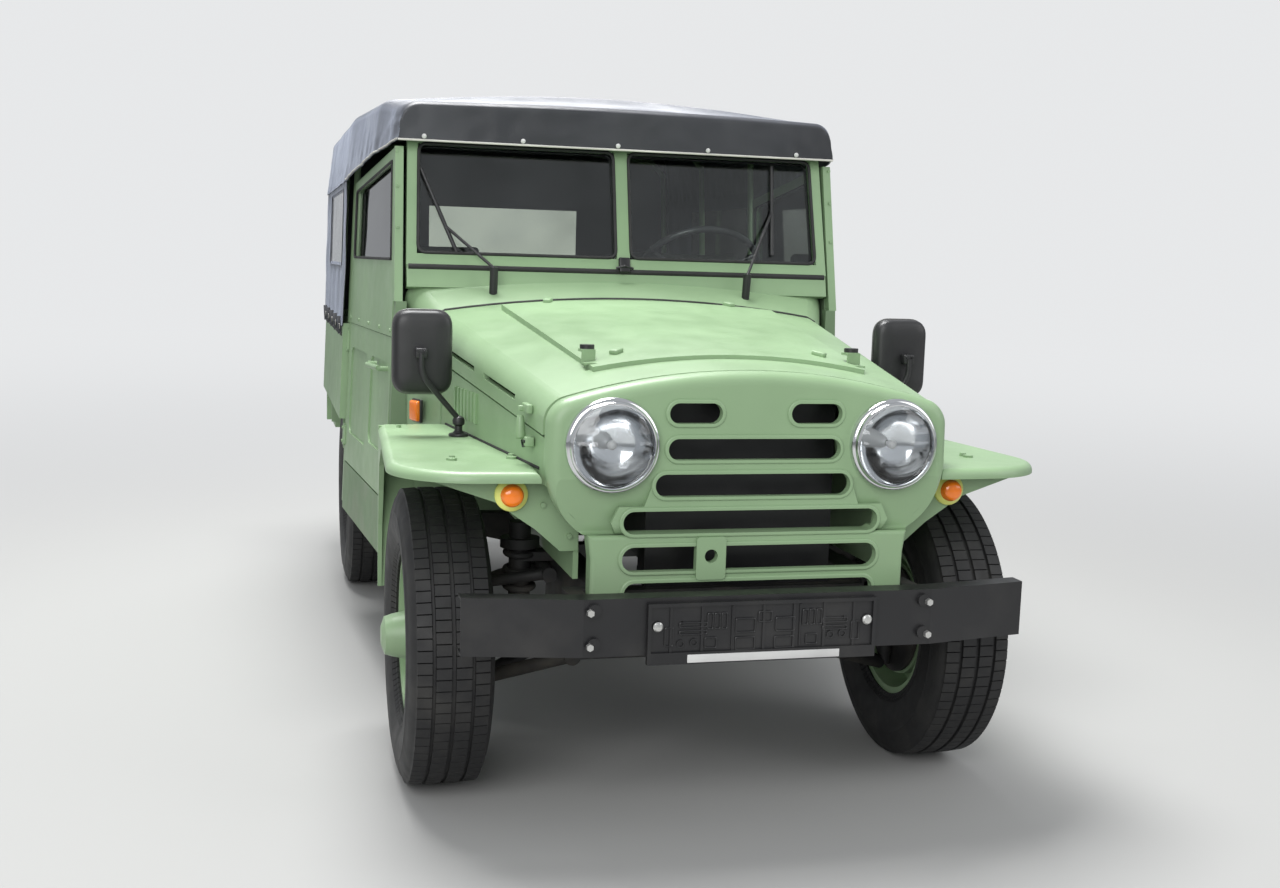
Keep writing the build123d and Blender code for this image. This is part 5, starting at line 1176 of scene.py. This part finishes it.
heads_shell, head_rims, arms, glasses = bmesh.new(), bmesh.new(), bmesh.new(), bmesh.new()
for side in (-1, 1):
    rings = [[heads_shell.verts.new(point) for point in head_outline(side, *row)] for row in SHELL_RINGS]
    for first, second in zip(rings, rings[1:]):
        for k in range(len(first)):
            following = (k + 1) % len(first)
            heads_shell.faces.new((first[k], first[following], second[following], second[k]))
    heads_shell.faces.new(rings[-1])
    heads_shell.faces.new(rings[0])
    bent_bar(head_rims, head_outline(side, 17, -0.6), 2.4, True)
    glass_ring = [glasses.verts.new(point) for point in head_outline(side, 18, 7.5)]
    glasses.faces.new(glass_ring)
    x, y, z = side * MIRROR_FOOT[0], *MIRROR_FOOT[1:]
    lathe(arms, [(0, 0.01), (0, 25), (4, 25.5), (7, 23), (9, 15), (15, 10), (26, 10), (31, 15),
                 (40, 16), (48, 13), (52, 6), (53, 0.01)], pointing(at(x, y, z), (0, 0, 1)), 32)
    low, top = at(x, y, KNUCKLE_TOP), at(side * ARM_X, ARM_Y, ARM_TOP)
    curve = eased(low, at(side * ARM_X, ARM_Y, ARM_BEND), top, ARM_CURVE)
    bent_bar(arms, [low] + curve + [top], 7.4, False, 4)
    slab(arms, (30, 26, 26), Matrix.Translation(at(side * ARM_X, ARM_Y + 10, ARM_TOP)), 4)
    for shift in (-9, 9):
        bolt(arms, at(side * ARM_X + shift, ARM_Y - 3, ARM_TOP + 6), FORWARD, 8, 5)
mirror_piece = piece("mirror_heads", heads_shell, plastic)
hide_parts("mirrors")
piece("mirror_rims", head_rims, pale_rim)
piece("mirror_arms", arms, plastic)
piece("mirror_glasses", glasses, mirror_glass)
dial_faces = moulded("dial_face", (0.62, 0.61, 0.55), 0.5)
bezels, faces, vent = bmesh.new(), bmesh.new(), bmesh.new()
DIALS = [
    # X, height, radius
    (170, 1070, 34), (250, 1070, 34), (210, 1012, 24),
]
for x, height, radius in DIALS:
    seat = pointing(at(x, 742, height), (0, 1, -0.02))
    lathe(bezels, [(-2, radius + 5), (5, radius + 5), (8, radius + 2), (7, radius)], seat, 40)
    lathe(faces, [(3.5, 0.01), (3.5, radius + 1)], seat, 40)
piece("dial_bezels", bezels, chrome)
piece("dial_faces", faces, dial_faces)
vent_seat = pointing(at(-40, 716, 1100), (0, -0.4, 1))
lathe(vent, [(-2, 46), (10, 44), (16, 34), (12, 28), (8, 14), (9, 0.01)], vent_seat, 40)
piece("screen_vent", vent, plastic)
print("mirrors and dashboard")

# %% [markdown]
# ## Seats and benches
# A seat pad is foam under a tight cover: its faces swell, its corners stay pulled in, and sewn
# channels cross the side that carries the sitter. Blowing up a thin-skinned copy in the cloth
# solver gives that swell. The channels are pressed in afterwards, because remeshing would lose
# them, and a cap keeps every point near the shape it started from.

# %% Stuff the pads
PAD_FRAMES, PUFF_CAP = 20, 13
# a sewn channel: its depth, half its width, and how soon it fades towards the pad's sides
GROOVE_DEPTH, GROOVE_HALF, GROOVE_FADE = mm(5.0), mm(6.5), mm(20)
BENCH_SEAM = mm(250)
# seams are pressed in beyond this part of half the pad's thickness
SEWN_PART = 0.35
# height of the seat pans in metres; no pad sinks below it
PAN_TOP = 0.8008


def settle(made):
    # keep what the modifiers show, and drop them
    bpy.context.view_layer.update()
    shown = made.evaluated_get(bpy.context.evaluated_depsgraph_get())
    mesh = bpy.data.meshes.new_from_object(shown)
    made.modifiers.clear()
    old, made.data = made.data, mesh
    bpy.data.meshes.remove(old)


def blank_pad(name, size, where, voxel):
    shape = bmesh.new()
    slab(shape, size, Matrix.Identity(4), 16, 3)
    bmesh.ops.transform(shape, matrix=where, verts=shape.verts)
    made = piece(name, shape, seat_skin)
    remesh = made.modifiers.new("even", "REMESH")
    remesh.mode, remesh.voxel_size = "VOXEL", mm(voxel)
    settle(made)
    return made


def puff(pads, cap):
    # swell all the pads at once, each point held within its cap
    starts = [[vert.co.copy() for vert in made.data.vertices] for made in pads]
    for made in pads:
        blow = made.modifiers.new("blow", "CLOTH")
        blow.settings.use_pressure = True
        blow.settings.uniform_pressure_force = 4.0
        blow.settings.effector_weights.gravity = 0.0
        blow.point_cache.frame_start, blow.point_cache.frame_end = 1, PAD_FRAMES
    for frame_number in range(1, PAD_FRAMES + 1):
        bpy.context.scene.frame_set(frame_number)
    for made in pads:
        settle(made)
    bpy.context.scene.frame_set(1)
    for made, start in zip(pads, starts):
        for vert, origin in zip(made.data.vertices, start):
            step = vert.co - origin
            if step.length > mm(cap):
                vert.co = origin + step.normalized() * mm(cap)


def sew(made, where, size, way, channels, step):
    # press the seams into the side that carries the sitter, and keep the underside on its pan
    inverse = where.inverted()
    half_wide, half_thick = mm(size[0]) / 2, mm(size[2] if way.z else size[1]) / 2
    for vert in made.data.vertices:
        local = inverse @ vert.co
        if local.dot(way) > half_thick * SEWN_PART:
            if channels:
                across = [local.x + mm(step) * (k - (channels - 1) / 2) for k in range(channels)]
            else:
                across = [local.y + BENCH_SEAM * k for k in (-1, 0, 1)]
            groove = sum(math.exp(-(gap / GROOVE_HALF) ** 2) for gap in across)
            edge = min(1.0, max(0.0, (half_wide - abs(local.x)) / GROOVE_FADE))
            local = local - way * GROOVE_DEPTH * groove * edge
            vert.co = where @ local
        if way.z:
            vert.co.z = max(vert.co.z, PAN_TOP)


UPRIGHT = Matrix.Identity(4)
BACK_LEAN = Matrix.Rotation(math.radians(-9), 4, "X") @ Matrix.Translation((0, 0.042, 0.226))
PADS = [
    # name, size, middle, lean, voxel, sewn side (local), channels across, channel step
    ("seat_cushion", (312, 376, 84), (467, 1284, 848), UPRIGHT, 7, (0, 0, 1), 5, 56),
    ("seat_back", (308, 66, 410), (467, 1444, 906), BACK_LEAN, 7, (0, -1, 0), 5, 56),
    ("bench_pad", (255, 1004, 56), (581.5, 2410, 834), UPRIGHT, 8, (0, 0, 1), 0, 0),
]
pads = []
for name, size, middle, lean, voxel, way, channels, step in PADS:
    for side, hand in ((-1, "right"), (1, "left")):
        where = Matrix.Translation(at(side * middle[0], *middle[1:])) @ lean
        made = blank_pad(hand + "_" + name, size, where, voxel)
        pads.append((made, where, size, Vector(way), channels, step))
puff([row[0] for row in pads], PUFF_CAP)
for row in pads:
    made = row[0]
    sew(*row)
    smooth = made.modifiers.new("smooth", "SUBSURF")
    smooth.levels = smooth.render_levels = 1
    for polygon in made.data.polygons:
        polygon.use_smooth = True
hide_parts("front_seats")
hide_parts("rear_benches")
print(len(pads), "pads of", sum(len(row[0].data.polygons) for row in pads), "faces")
